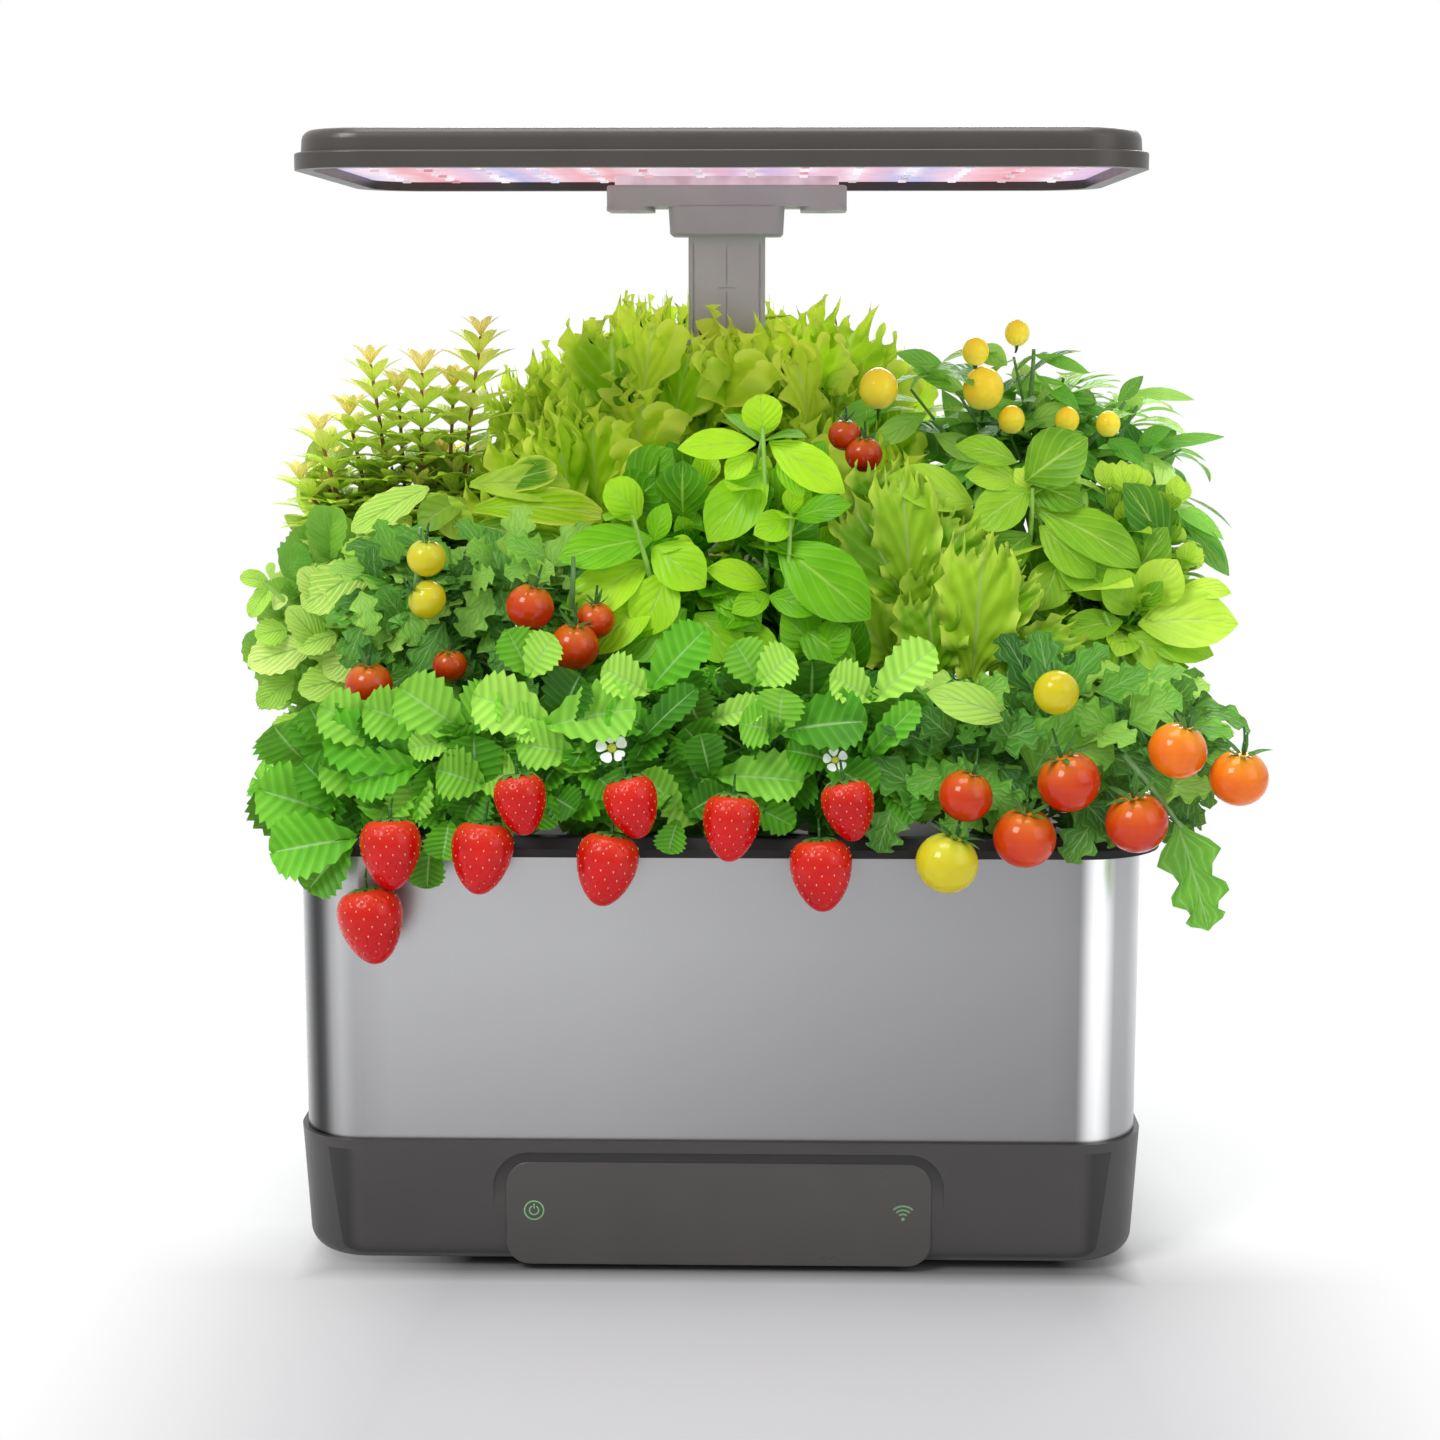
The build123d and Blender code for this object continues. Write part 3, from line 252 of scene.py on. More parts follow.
@dataclass(frozen=True)
class HoodPlastic(MouldedPlastic):
    """The hood's plastic, with the chips' pink light painted on the bracket's pad as a glow; the pad is
    placed in metres.
    """

    pad_half: float = 0.0565
    pad_front: float = 0.055
    pad_rear: float = 0.105
    pad_top: float = 0.5046

    def glow(self, recipe: Recipe) -> dict[str, object]:
        """Paint the pink light of the chips beside it on the pad's sides, as a glow."""
        across, depth, level = recipe.axes()
        inside = recipe.math("LESS_THAN", recipe.math("ABSOLUTE", across), self.pad_half)
        behind = recipe.math("GREATER_THAN", depth, self.pad_front)
        ahead = recipe.math("LESS_THAN", depth, self.pad_rear)
        under = recipe.math("LESS_THAN", level, self.pad_top)
        share = recipe.math("MULTIPLY", recipe.math("MULTIPLY", inside, behind),
                            recipe.math("MULTIPLY", ahead, under))
        # The painted glow from the chips, in mottled pink
        stops = [(0.35, (0.62, 0.38, 0.46)), (0.65, (0.84, 0.62, 0.72))]
        pink = recipe.ramp(recipe.noise(70.0, 2.0), stops)
        return {"Emission_Color": pink, "Emission_Strength": recipe.math("MULTIPLY", share, 0.8)}


@dataclass(frozen=True)
class BrushedSteel:
    """Satin steel sheet with a faint upright brush; reflections and shade are painted into its colour."""

    name: str
    half_width: float = 0.1925
    painted_reflection_bands: tuple[tuple[float, float], ...] = (
        (-192, 0.40), (-189, 0.20), (-186, 0.07), (-183, 0.030), (-180, 0.08), (-176, 0.32), (-172, 0.42),
        (-166, 0.34), (-150, 0.39), (-55, 0.37), (55, 0.30), (150, 0.25), (163, 0.22), (168, 0.78),
        (172, 0.95), (176, 0.66), (179, 0.36), (186, 0.34), (192, 0.50),
    )

    def make(self) -> bpy.types.Material:
        """Build the material."""
        recipe = Recipe(self.name)
        side, _, height = recipe.axes()
        across = recipe.math("MULTIPLY_ADD", side, 0.5 / self.half_width, 0.5)
        # Painted reflections: dark and bright bands across the width, strongest where the sheet turns its
        # corners
        stops = [(0.5 + 0.5 * place * MM / self.half_width, (level, level, level * 1.01))
                 for place, level in self.painted_reflection_bands]
        tone = recipe.ramp(across, stops)
        # Painted shade: darker towards the bottom
        rise = recipe.math("MULTIPLY_ADD", height, 2.6, 0.60, clamp=True)
        streak = recipe.noise(1.0, 4.0, recipe.place(scale=(2600.0, 2600.0, 9.0)), 0.6)
        level = recipe.math("MULTIPLY", rise, recipe.math("MULTIPLY_ADD", streak, 0.05, 0.975))
        colour = recipe.mix(1.0, tone, recipe.ramp(level, [(0.0, (0.0,) * 3), (1.0, (1.0,) * 3)]), "MULTIPLY")
        recipe.surface(
            Base_Color=colour, Metallic=1.0, Roughness=recipe.math("MULTIPLY_ADD", streak, 0.06, 0.27),
            Normal=recipe.bump(streak, 0.04, 0.00001),
        )
        return recipe.material


@dataclass(frozen=True)
class LitPanel:
    """White coated board with the glow of its chips painted on as emission in their colours."""

    name: str
    strength: float = 0.92
    pitch: float = 0.0255

    def make(self) -> bpy.types.Material:
        """Build the material."""
        recipe = Recipe(self.name)
        side = recipe.axes()[0]
        spread = recipe.math("MULTIPLY_ADD", side, 2.63, 0.47)
        across = recipe.math("MULTIPLY_ADD", recipe.noise(26.0, 2.0), 0.06, spread)
        pink, lilac, white = (0.80, 0.38, 0.52), (0.56, 0.42, 0.76), (0.82, 0.66, 0.76)
        red, blue, rose = (0.76, 0.16, 0.19), (0.26, 0.34, 0.74), (0.88, 0.50, 0.66)
        # The chips' coloured glow, painted across the board
        glow = recipe.ramp(across, [
            (0.00, blue), (0.05, white), (0.10, red), (0.15, pink), (0.22, blue), (0.27, pink),
            (0.34, red), (0.40, white), (0.48, pink), (0.55, lilac), (0.62, rose), (0.68, pink),
            (0.74, blue), (0.80, rose), (0.86, red), (0.92, pink), (1.00, lilac),
        ])
        # Painted bright spots of glow at the chips' pitch, shown in patches
        turn = recipe.math("MULTIPLY_ADD", side, 1.0 / self.pitch, 20.0)
        beside = recipe.math("ABSOLUTE", recipe.math("SUBTRACT", recipe.math("FRACT", turn), 0.5))
        spot = recipe.math("SUBTRACT", 1.0, recipe.math("MULTIPLY", beside, 3.0), clamp=True)
        patch = recipe.math("MULTIPLY_ADD", recipe.noise(1.0, 1.0, recipe.place(scale=(36.0, 20.0, 1.0))),
                            5.0, -2.1, clamp=True)
        glow = recipe.mix(recipe.math("MULTIPLY", spot, patch), glow, (1.0, 0.90, 0.96))
        mottled_glow = recipe.mix(recipe.math("MULTIPLY", recipe.noise(90.0, 2.0), 0.5), glow, (0.90, 0.74, 0.86))
        recipe.surface(
            Base_Color=(0.10, 0.09, 0.10), Roughness=0.55, Specular_IOR_Level=0.1, Emission_Color=mottled_glow,
            Emission_Strength=self.strength,
        )
        return recipe.material


@dataclass(frozen=True)
class LitChip:
    """A light chip under its clear lens."""

    name: str
    colour: Colour
    strength: float

    def make(self) -> bpy.types.Material:
        """Build the material."""
        recipe = Recipe(self.name)
        spot = recipe.noise(900.0, 1.0)
        colour = recipe.mix(spot, self.colour, tuple(min(1.0, c * 1.15) for c in self.colour))
        # From chip to chip the light varies
        each = recipe.math("MULTIPLY_ADD", recipe.noise(47.0, 0.0), 5.0, -2.2, clamp=True)
        strength = recipe.math("MULTIPLY_ADD", each, self.strength * 0.4, self.strength * 0.6)
        recipe.surface(Base_Color=(0.10, 0.09, 0.10), Roughness=0.3, Emission_Color=colour,
                       Emission_Strength=strength)
        return recipe.material


@dataclass(frozen=True)
class LeafSkin:
    """A leaf with a midrib, side veins, a paler rim, and painted sun and shade.

    The blade's own UV map runs across (U) and along (V); the attribute tone sets each leaf's painted sun and
    shade.
    """

    name: str
    shade: Colour
    body: Colour
    sun: Colour
    vein: Colour
    veins: float = 9.0
    slant: float = 0.7
    vein_strength: float = 0.35
    rim: Colour | None = None
    roughness: float = 0.42
    glow: float = 0.30
    bump_depth: float = 0.0006
    pleat_shade: float = 0.0

    def make(self) -> bpy.types.Material:
        """Build the material."""
        recipe = Recipe(self.name)
        split = recipe.node("ShaderNodeSeparateXYZ")
        recipe.put(split.inputs[0], recipe.node("ShaderNodeUVMap").outputs[0])
        side = recipe.math("ABSOLUTE", recipe.math("SUBTRACT", split.outputs[0], 0.5))
        slanted = recipe.math("SUBTRACT", split.outputs[1], recipe.math("MULTIPLY", side, self.slant))
        turn = recipe.math("MULTIPLY_ADD", slanted, self.veins * math.tau, -math.pi / 2)
        wave = recipe.math("SINE", turn)
        lift = recipe.math("MULTIPLY_ADD", wave, 0.5, 0.5)
        line = recipe.math("POWER", lift, 14.0)
        midrib = recipe.math("SUBTRACT", 1.0, recipe.math("MULTIPLY", side, 26.0), clamp=True)
        drawn = recipe.math("MAXIMUM", recipe.math("MULTIPLY", line, self.vein_strength), midrib)
        tone = recipe.node("ShaderNodeAttribute", attribute_name="tone").outputs["Fac"]
        cloud = recipe.noise(70.0, 3.0)
        # Painted sun and shade: the tone takes the colour from shade through body to sun
        level = recipe.math("MULTIPLY_ADD", cloud, 0.35, recipe.math("MULTIPLY_ADD", tone, 0.9, -0.15))
        colour = recipe.ramp(level, [(0.05, self.shade), (0.45, self.body), (0.9, self.sun)])
        # Painted shade in the valleys between the pleats
        if self.pleat_shade:
            valley = recipe.math("MULTIPLY", recipe.math("SUBTRACT", 1.0, lift), self.pleat_shade)
            colour = recipe.mix(valley, colour, self.shade)
        if self.rim is not None:
            edge = recipe.math("MULTIPLY", recipe.math("SUBTRACT", side, 0.36), 7.0, clamp=True)
            tip = recipe.math("MULTIPLY", recipe.math("SUBTRACT", split.outputs[1], 0.80), 5.0, clamp=True)
            colour = recipe.mix(recipe.math("MAXIMUM", edge, tip), colour, self.rim)
        colour = recipe.mix(recipe.math("MULTIPLY", drawn, 0.75), colour, self.vein)
        height = recipe.math("SUBTRACT", lift, drawn)
        normal = recipe.bump(height, 0.5, self.bump_depth)
        gloss = recipe.math("MULTIPLY_ADD", cloud, 0.2, self.roughness - 0.1)
        front = recipe.node(
            "ShaderNodeBsdfPrincipled", Base_Color=colour, Roughness=gloss, Normal=normal,
            Specular_IOR_Level=0.22,
        )
        through = recipe.node("ShaderNodeBsdfTranslucent", Normal=normal)
        recipe.put(through.inputs["Color"], recipe.mix(0.5, colour, self.sun))
        recipe.blend(self.glow, front, through)
        return recipe.material


@dataclass(frozen=True)
class Stalk:
    """A green or reddish stem with faint lengthwise tone changes."""

    name: str
    colour: Colour
    other: Colour

    def make(self) -> bpy.types.Material:
        """Build the material."""
        recipe = Recipe(self.name)
        tone = recipe.noise(1.0, 3.0, recipe.place(scale=(240.0, 240.0, 60.0)))
        colour = recipe.ramp(tone, [(0.35, self.colour), (0.65, self.other)])
        fine = recipe.noise(1.0, 2.0, recipe.place(scale=(2500.0, 2500.0, 200.0)))
        recipe.surface(Base_Color=colour, Roughness=0.45, Normal=recipe.bump(fine, 0.3, 0.0001))
        return recipe.material


@dataclass(frozen=True)
class FruitSkin:
    """Smooth glossy fruit skin, paler towards the stalk on the tone attribute."""

    name: str
    flesh: Colour
    blush: Colour
    shoulder: Colour
    roughness: float = 0.16
    coat: float = 0.25

    def make(self) -> bpy.types.Material:
        """Build the material."""
        recipe = Recipe(self.name)
        cloud = recipe.noise(55.0, 3.0)
        colour = recipe.ramp(cloud, [(0.35, self.flesh), (0.7, self.blush)])
        top = recipe.node("ShaderNodeAttribute", attribute_name="tone").outputs["Fac"]
        colour = recipe.mix(recipe.math("POWER", top, 5.0), colour, self.shoulder)
        speck = recipe.noise(900.0, 2.0)
        recipe.surface(
            Base_Color=colour, Roughness=self.roughness, Specular_IOR_Level=0.15,
            Coat_Weight=self.coat, Coat_Roughness=0.08,
            Subsurface_Weight=0.12, Subsurface_Radius=(0.004, 0.0015, 0.001), Subsurface_Scale=1.0,
            Normal=recipe.bump(speck, 0.04, 0.0001),
        )
        return recipe.material


@dataclass(frozen=True)
class PlainTone:
    """A soft matt finish with slight mottling, for foam, seeds, petals and small parts."""

    name: str
    colour: Colour
    other: Colour
    scale: float = 400.0
    roughness: float = 0.6
    metallic: float = 0.0
    depth: float = 0.0002

    def make(self) -> bpy.types.Material:
        """Build the material."""
        recipe = Recipe(self.name)
        tone = recipe.noise(self.scale, 4.0)
        colour = recipe.ramp(tone, [(0.35, self.colour), (0.65, self.other)])
        recipe.surface(
            Base_Color=colour, Roughness=self.roughness, Metallic=self.metallic,
            Normal=recipe.bump(tone, 0.4, self.depth),
        )
        return recipe.material


# ---------------------------------------------------------------- modelling by hand tools
class Bench:
    """Tools for shaping, joining and painting meshes."""

    @staticmethod
    def clear() -> None:
        """Deselect everything."""
        bpy.ops.object.select_all(action="DESELECT")

    @staticmethod
    def pick(piece: bpy.types.Object) -> None:
        """Select one object alone and make it active."""
        Bench.clear()
        piece.select_set(True)
        bpy.context.view_layer.objects.active = piece

    @staticmethod
    def add(name: str, data: bpy.types.ID) -> bpy.types.Object:
        """Put new data into the scene as an object and return it."""
        made = bpy.data.objects.new(name, data)
        bpy.context.scene.collection.objects.link(made)
        return made

    @staticmethod
    def paint(piece: bpy.types.Object, material: bpy.types.Material) -> None:
        """Give a piece one material and no other."""
        piece.data.materials.clear()
        piece.data.materials.append(material)

    @staticmethod
    def points(mesh: bpy.types.Mesh) -> np.ndarray:
        """The places of a mesh's points, one row for each."""
        places = np.zeros(len(mesh.vertices) * 3)
        mesh.vertices.foreach_get("co", places)
        return places.reshape(-1, 3)

    @staticmethod
    def tone(mesh: bpy.types.Mesh, values: np.ndarray) -> None:
        """Store a value for each point in the attribute tone."""
        shade = mesh.attributes.new("tone", "FLOAT", "POINT")
        shade.data.foreach_set("value", values.astype(np.float32))

    @staticmethod
    def named(name: str) -> bpy.types.Object:
        """Name the active object and its data, and return it."""
        made = bpy.context.object
        made.name = name
        made.data.name = name
        return made

    @staticmethod
    def select(test) -> int:
        """Select the vertices that pass a test, in edit mode.

        Args:
            test: function of a vertex place that says whether it is wanted.

        Returns:
            How many were selected.
        """
        mesh = bmesh.from_edit_mesh(bpy.context.object.data)
        for face in mesh.faces:
            face.select = False
        for edge in mesh.edges:
            edge.select = False
        count = 0
        for vert in mesh.verts:
            vert.select = bool(test(vert.co))
            count += vert.select
        mesh.select_flush_mode()
        bmesh.update_edit_mesh(bpy.context.object.data)
        return count

    @staticmethod
    def apply(obj: bpy.types.Object) -> None:
        """Apply every modifier of an object."""
        bpy.context.view_layer.objects.active = obj
        for modifier in list(obj.modifiers):
            bpy.ops.object.modifier_apply(modifier=modifier.name)

    @staticmethod
    def join(pieces: list[bpy.types.Object], name: str) -> bpy.types.Object:
        """Join several meshes into one piece.

        Args:
            pieces: the meshes to join.
            name: name of the result.

        Returns:
            The joined piece.
        """
        Bench.clear()
        for piece in pieces:
            piece.select_set(True)
        bpy.context.view_layer.objects.active = pieces[0]
        if len(pieces) > 1:
            bpy.ops.object.join()
        made = Bench.named(name)
        Bench.clear()
        return made


@dataclass
class Blade:
    """A leaf blade of unit length along +Y and unit width, shaped from a grid row by row."""

    name: str
    widths: list[float]
    columns: int = 6
    teeth: float = 0.0
    slant: float = 0.12
    cup: float = 0.10
    pleat: float = 0.0
    ruffle: float = 0.0
    finger_rows: int = 0
    fold: float = 0.0
    smooth: bool = False
    mesh: bpy.types.Mesh | None = field(default=None, repr=False)

    def build(self) -> None:
        """Model the blade once and keep its mesh, which each leaf copies."""
        rows = len(self.widths) - 1
        Bench.clear()
        bpy.ops.mesh.primitive_grid_add(
            x_subdivisions=self.columns, y_subdivisions=rows, size=1.0, location=(0.0, 0.5, 0.0)
        )
        blade = Bench.named(self.name)
        bpy.ops.object.transform_apply(location=True)
        bpy.ops.object.mode_set(mode="EDIT")
        for row, width in enumerate(self.widths):
            level = row / rows
            Bench.select(lambda co, level=level: abs(co.y - level) < 0.1 / rows)
            bpy.ops.transform.resize(value=(width, 1.0, 1.0), center_override=(0.0, level, 0.0))
        bpy.ops.object.mode_set(mode="OBJECT")
        self._relief(blade, rows)
        if self.finger_rows:
            self._cut_fingers(blade, rows)
        if self.smooth:
            rounded = blade.modifiers.new("rounded", "SUBSURF")
            rounded.levels = rounded.render_levels = 1
            Bench.apply(blade)
        self.mesh = blade.data
        bpy.data.objects.remove(blade)
        LOG.info("blade %s: %d faces", self.name, len(self.mesh.polygons))

    def _relief(self, blade: bpy.types.Object, rows: int) -> None:
        """Slant the side veins, raise pleats, cup the blade and ruffle its edge."""
        places = Bench.points(blade.data)
        row, column = np.divmod(np.arange(len(places)), self.columns + 1)
        across = np.abs(column / self.columns - 0.5) * 2.0
        tooth = np.where(row % 2 == 1, 1.0, -1.0) * self.teeth
        inner = (row > 0) & (row < rows)
        places[:, 0] *= 1.0 + tooth * (across > 0.95) * inner
        fall = np.sin(np.pi * np.clip(row / rows, 0.0, 1.0))
        places[:, 1] += self.slant * across * fall
        places[:, 2] += self.cup * (across * fall) ** 1.5 * 0.5 + self.fold * across * 0.5
        places[:, 2] += self.pleat * np.where(row % 2 == 1, 1.0, -1.0) * across * (1.3 - across) * fall
        if self.ruffle:
            turn = row * 1.9 + np.where(places[:, 0] > 0, 1.3, 0.0)
            lean = column * 2.1
            edge = np.maximum(across ** 2, (row / rows) ** 4)
            places[:, 2] += self.ruffle * edge * np.sin(turn + lean * (row / rows) ** 2)
            places[:, 0] += self.ruffle * 0.4 * edge * np.cos(turn * 1.3 + lean)
            places[:, 1] += self.ruffle * 0.5 * (row / rows) ** 4 * np.sin(lean * 1.7)
        if self.finger_rows:
            group = np.minimum(column // 3, self.columns // 3)
            reach = np.clip((row - rows + self.finger_rows) / self.finger_rows, 0.0, 1.0)
            for finger in range(self.columns // 3 + 1):
                mine = group == finger
                middle = places[mine & (row == rows), 0].mean()
                pinch = 1.0 - 0.42 * reach[mine] ** 1.4
                places[mine, 0] = middle * reach[mine] + places[mine, 0] * (1.0 - reach[mine]) + (
                    places[mine, 0] - middle) * reach[mine] * pinch
                places[mine, 1] += 0.09 * reach[mine] * math.sin(finger * 2.3 + 0.5)
                places[mine, 2] += 0.10 * reach[mine] * math.cos(finger * 1.9)
        blade.data.vertices.foreach_set("co", places.ravel())
        blade.data.update()

    def _cut_fingers(self, blade: bpy.types.Object, rows: int) -> None:
        """Delete every third strip of faces at the rim, so that the rim ends in fingers."""
        Bench.pick(blade)
        bpy.ops.object.mode_set(mode="EDIT")
        bpy.ops.mesh.select_mode(type="FACE")
        mesh = bmesh.from_edit_mesh(blade.data)
        for number, face in enumerate(mesh.faces):
            row, column = divmod(number, self.columns)
            face.select_set(row >= rows - self.finger_rows and column % 3 == 2)
        bmesh.update_edit_mesh(blade.data)
        bpy.ops.mesh.delete(type="FACE")
        bpy.ops.mesh.select_mode(type="VERT")
        bpy.ops.object.mode_set(mode="OBJECT")


class Kind(Enum):
    """The blades that the plants are made of."""

    OVAL = "oval"
    ROUND = "round"
    LANCE = "lance"
    TOOTHED = "toothed"
    MINT = "mint"
    LOBED = "lobed"
    FRILL = "frill"
    SPIKY = "spiky"
    SMOOTH = "smooth"
    SEPAL = "sepal"
    PETAL = "petal"


def blades() -> dict[Kind, Blade]:
    """Model every blade once.

    Returns:
        The blades by kind.
    """
    made = {
        Kind.OVAL: Blade("blade_oval", [0.05, 0.5, 0.82, 0.97, 1.0, 0.93, 0.78, 0.55, 0.3, 0.02], cup=0.16,
                         pleat=0.012),
        Kind.ROUND: Blade("blade_round", [0.2, 0.72, 0.95, 1.0, 0.98, 0.86, 0.62, 0.2], cup=0.2),
        Kind.LANCE: Blade("blade_lance", [0.06, 0.5, 0.85, 1.0, 0.95, 0.78, 0.55, 0.3, 0.02], columns=4,
                          cup=0.22),
        Kind.TOOTHED: Blade(
            "blade_toothed",
            [0.06, 0.3, 0.48, 0.66, 0.78, 0.88, 0.94, 1.0, 0.98, 1.0, 0.94, 0.90, 0.80, 0.70, 0.52, 0.34,
             0.06],
            columns=8, teeth=0.09, slant=0.20, pleat=0.055, fold=0.26),
        Kind.MINT: Blade(
            "blade_mint", [0.1, 0.5, 0.72, 0.9, 0.96, 1.0, 0.96, 0.9, 0.8, 0.68, 0.52, 0.36, 0.04],
            teeth=0.06, slant=0.14, cup=0.14, pleat=0.03),
        Kind.LOBED: Blade(
            "blade_lobed", [0.06, 0.3, 0.75, 1.0, 0.62, 0.5, 0.85, 0.88, 0.5, 0.42, 0.62, 0.5, 0.2, 0.02],
            slant=0.16, cup=0.12, pleat=0.03),
        Kind.FRILL: Blade(
            "blade_frill",
            [0.2, 0.3, 0.46, 0.62, 0.76, 0.88, 0.94, 1.0, 0.97, 0.99, 0.92, 0.94, 0.86, 0.8],
            columns=17, teeth=0.09, slant=0.0, cup=0.15, ruffle=0.20, finger_rows=1, smooth=True),
        Kind.SPIKY: Blade(
            "blade_spiky",
            [0.16, 0.22, 0.34, 0.40, 0.58, 0.62, 0.82, 0.80, 1.0, 0.94, 1.06, 1.0, 1.04, 0.96],
            columns=17, teeth=0.14, slant=-0.02, cup=0.14, ruffle=0.22, finger_rows=2, smooth=True),
        Kind.SMOOTH: Blade(
            "blade_smooth", [0.16, 0.4, 0.66, 0.84, 0.95, 1.0, 0.97, 0.86, 0.64, 0.3], columns=8,
            slant=0.08, cup=0.25, ruffle=0.02),
        Kind.SEPAL: Blade("blade_sepal", [0.5, 0.9, 1.0, 0.7, 0.4, 0.03], columns=2, cup=0.3),
        Kind.PETAL: Blade("blade_petal", [0.3, 0.7, 0.95, 1.0, 0.85, 0.4], columns=4, cup=0.25),
    }
    for blade in made.values():
        blade.build()
    return made


class Sprouter:
    """Copies blades into leaves and draws stems, then joins them into the pieces of one plant."""

    def __init__(self, kinds: dict[Kind, Blade], seed: int) -> None:
        """Start a plant.

        Args:
            kinds: the modelled blades.
            seed: start of this plant's own random row.
        """
        self.kinds = kinds
        self.dice = random.Random(seed)
        self.room: Room | None = None
        self.leaves: list[bpy.types.Object] = []
        self.stems: list[tuple[list[Vector], float]] = []

    def leaf(
        self, kind: Kind, base: Vector, along: Vector, face: Vector, length: float, width: float,
        bend: float = 0.5, tone: float | None = None,
    ) -> None:
        """Place one leaf.

        Args:
            kind: which blade.
            base: where it joins its stem, in millimetres.
            along: direction from base to tip.
            face: direction that its upper side looks to.
            length: length in millimetres.
            width: width in millimetres.
            bend: how far it arches back, in radians over its length.
            tone: how sunny it is, from 0 to 1.
        """
        mesh = self.kinds[kind].mesh.copy()
        places = Bench.points(mesh)
        places[:, 0] *= width
        places[:, 2] *= width
        if abs(bend) > 0.02:
            radius = length / bend
            angle = places[:, 1] * length / radius
            lift = places[:, 2].copy()
            places[:, 1] = (radius + lift) * np.sin(angle)
            places[:, 2] = (radius + lift) * np.cos(angle) - radius
        else:
            places[:, 1] *= length
        forward = along.normalized()
        side = forward.cross(face)
        if side.length < 1e-4:
            side = forward.cross(Vector((1.0, 0.3, 0.2)))
        side.normalize()
        up = side.cross(forward)
        turn = np.array([side, forward, up]).T
        places = self._clear_of_mast(places @ turn.T + np.array(base))
        mesh.vertices.foreach_set("co", (places * MM).ravel())
        level = self.dice.random() if tone is None else tone
        # Painted shade: leaves deep in the plant and low down get a darker tone
        if self.room is not None:
            level *= self.room.light(base + forward * length * 0.6)
        Bench.tone(mesh, np.full(len(places), level))
        self.leaves.append(Bench.add("leaf", mesh))

    @staticmethod
    def _clear_of_mast(places: np.ndarray) -> np.ndarray:
        """Press a leaf's points out of the way of the mast, its collar and the lowered bracket."""
        across, depth = np.abs(places[:, 0]), places[:, 1]
        column = (across < COLUMN_HALF) & (np.abs(depth - MAST_Y) < COLUMN_DEPTH)
        under = (across < BRACKET_HALF) & (np.abs(depth - BRACKET_Y) < BRACKET_DEPTH)
        middle = places.mean(axis=0)
        if abs(middle[0]) > COLUMN_SIDE:
            places[column, 0] = math.copysign(COLUMN_HALF, middle[0])
        else:
            places[column, 1] = MAST_Y + math.copysign(COLUMN_DEPTH, middle[1] - MAST_Y)
        places[under, 2] = np.minimum(places[under, 2], BRACKET_LOW)
        return places

    def reach(
        self, kind: Kind, base: Vector, tip: Vector, face: Vector, width: float, bend: float,
        tone: float | None = None,
    ) -> None:
        """Place one arched leaf between two points.

        Args:
            kind: which blade.
            base: where it joins its stem, in millimetres.
            tip: where it ends, in millimetres.
            face: direction that its upper side looks to.
            width: width in millimetres.
            bend: how far it arches back, in radians over its length.
            tone: how sunny it is, from 0 to 1.
        """
        chord = tip - base
        course = chord.normalized()
        up = (face - course * face.dot(course)).normalized()
        half = bend / 2
        length = chord.length * (half / math.sin(half) if abs(half) > 0.01 else 1.0)
        along = course * math.cos(half) + up * math.sin(half)
        over = up * math.cos(half) - course * math.sin(half)
        self.leaf(kind, base, along, over, length, width, bend, tone)

    def stem(self, points: list[Vector], radius: float) -> None:
        """Add a stem through some points, in millimetres, that thins towards its end."""
        self.stems.append((points, radius))

    def jitter(self, amount: float) -> Vector:
        """A random offset of up to amount each way."""
        return Vector([self.dice.uniform(-amount, amount) for _ in range(3)])

    def leaves_piece(self, name: str, material: bpy.types.Material) -> bpy.types.Object:
        """Join the leaves made so far into one piece."""
        piece = Bench.join(self.leaves, name)
        self.leaves = []
        Bench.paint(piece, material)
        Bench.pick(piece)
        bpy.ops.object.shade_smooth()
        return piece

    def stems_piece(self, name: str, material: bpy.types.Material) -> bpy.types.Object:
        """Turn the stems made so far into one mesh piece."""
        curve = bpy.data.curves.new(name, "CURVE")
        curve.dimensions = "3D"
        curve.bevel_depth = MM
        curve.bevel_resolution = 1
        curve.resolution_u = 5
        curve.use_fill_caps = True
        for points, radius in self.stems:
            spline = curve.splines.new("NURBS")
            last = len(points) - 1
            spline.points.add(last)
            for place, (point, target) in enumerate(zip(spline.points, points)):
                point.co = (*(target * MM), 1.0)
                point.radius = radius * (1.0 - 0.45 * place / last)
            spline.order_u = min(3, len(points))
            spline.use_endpoint_u = True
        self.stems = []
        Bench.pick(Bench.add(name, curve))
        bpy.ops.object.convert(target="MESH")
        made = bpy.context.object
        Bench.paint(made, material)
        bpy.ops.object.shade_smooth()
        Bench.clear()
        return made


# ---------------------------------------------------------------- plants
def spoke(axis: Vector, angle: float) -> Vector:
    """A direction square to an axis, turned about it by an angle in radians."""
    side = axis.orthogonal().normalized()
    side.rotate(Matrix.Rotation(angle, 3, axis))
    return side


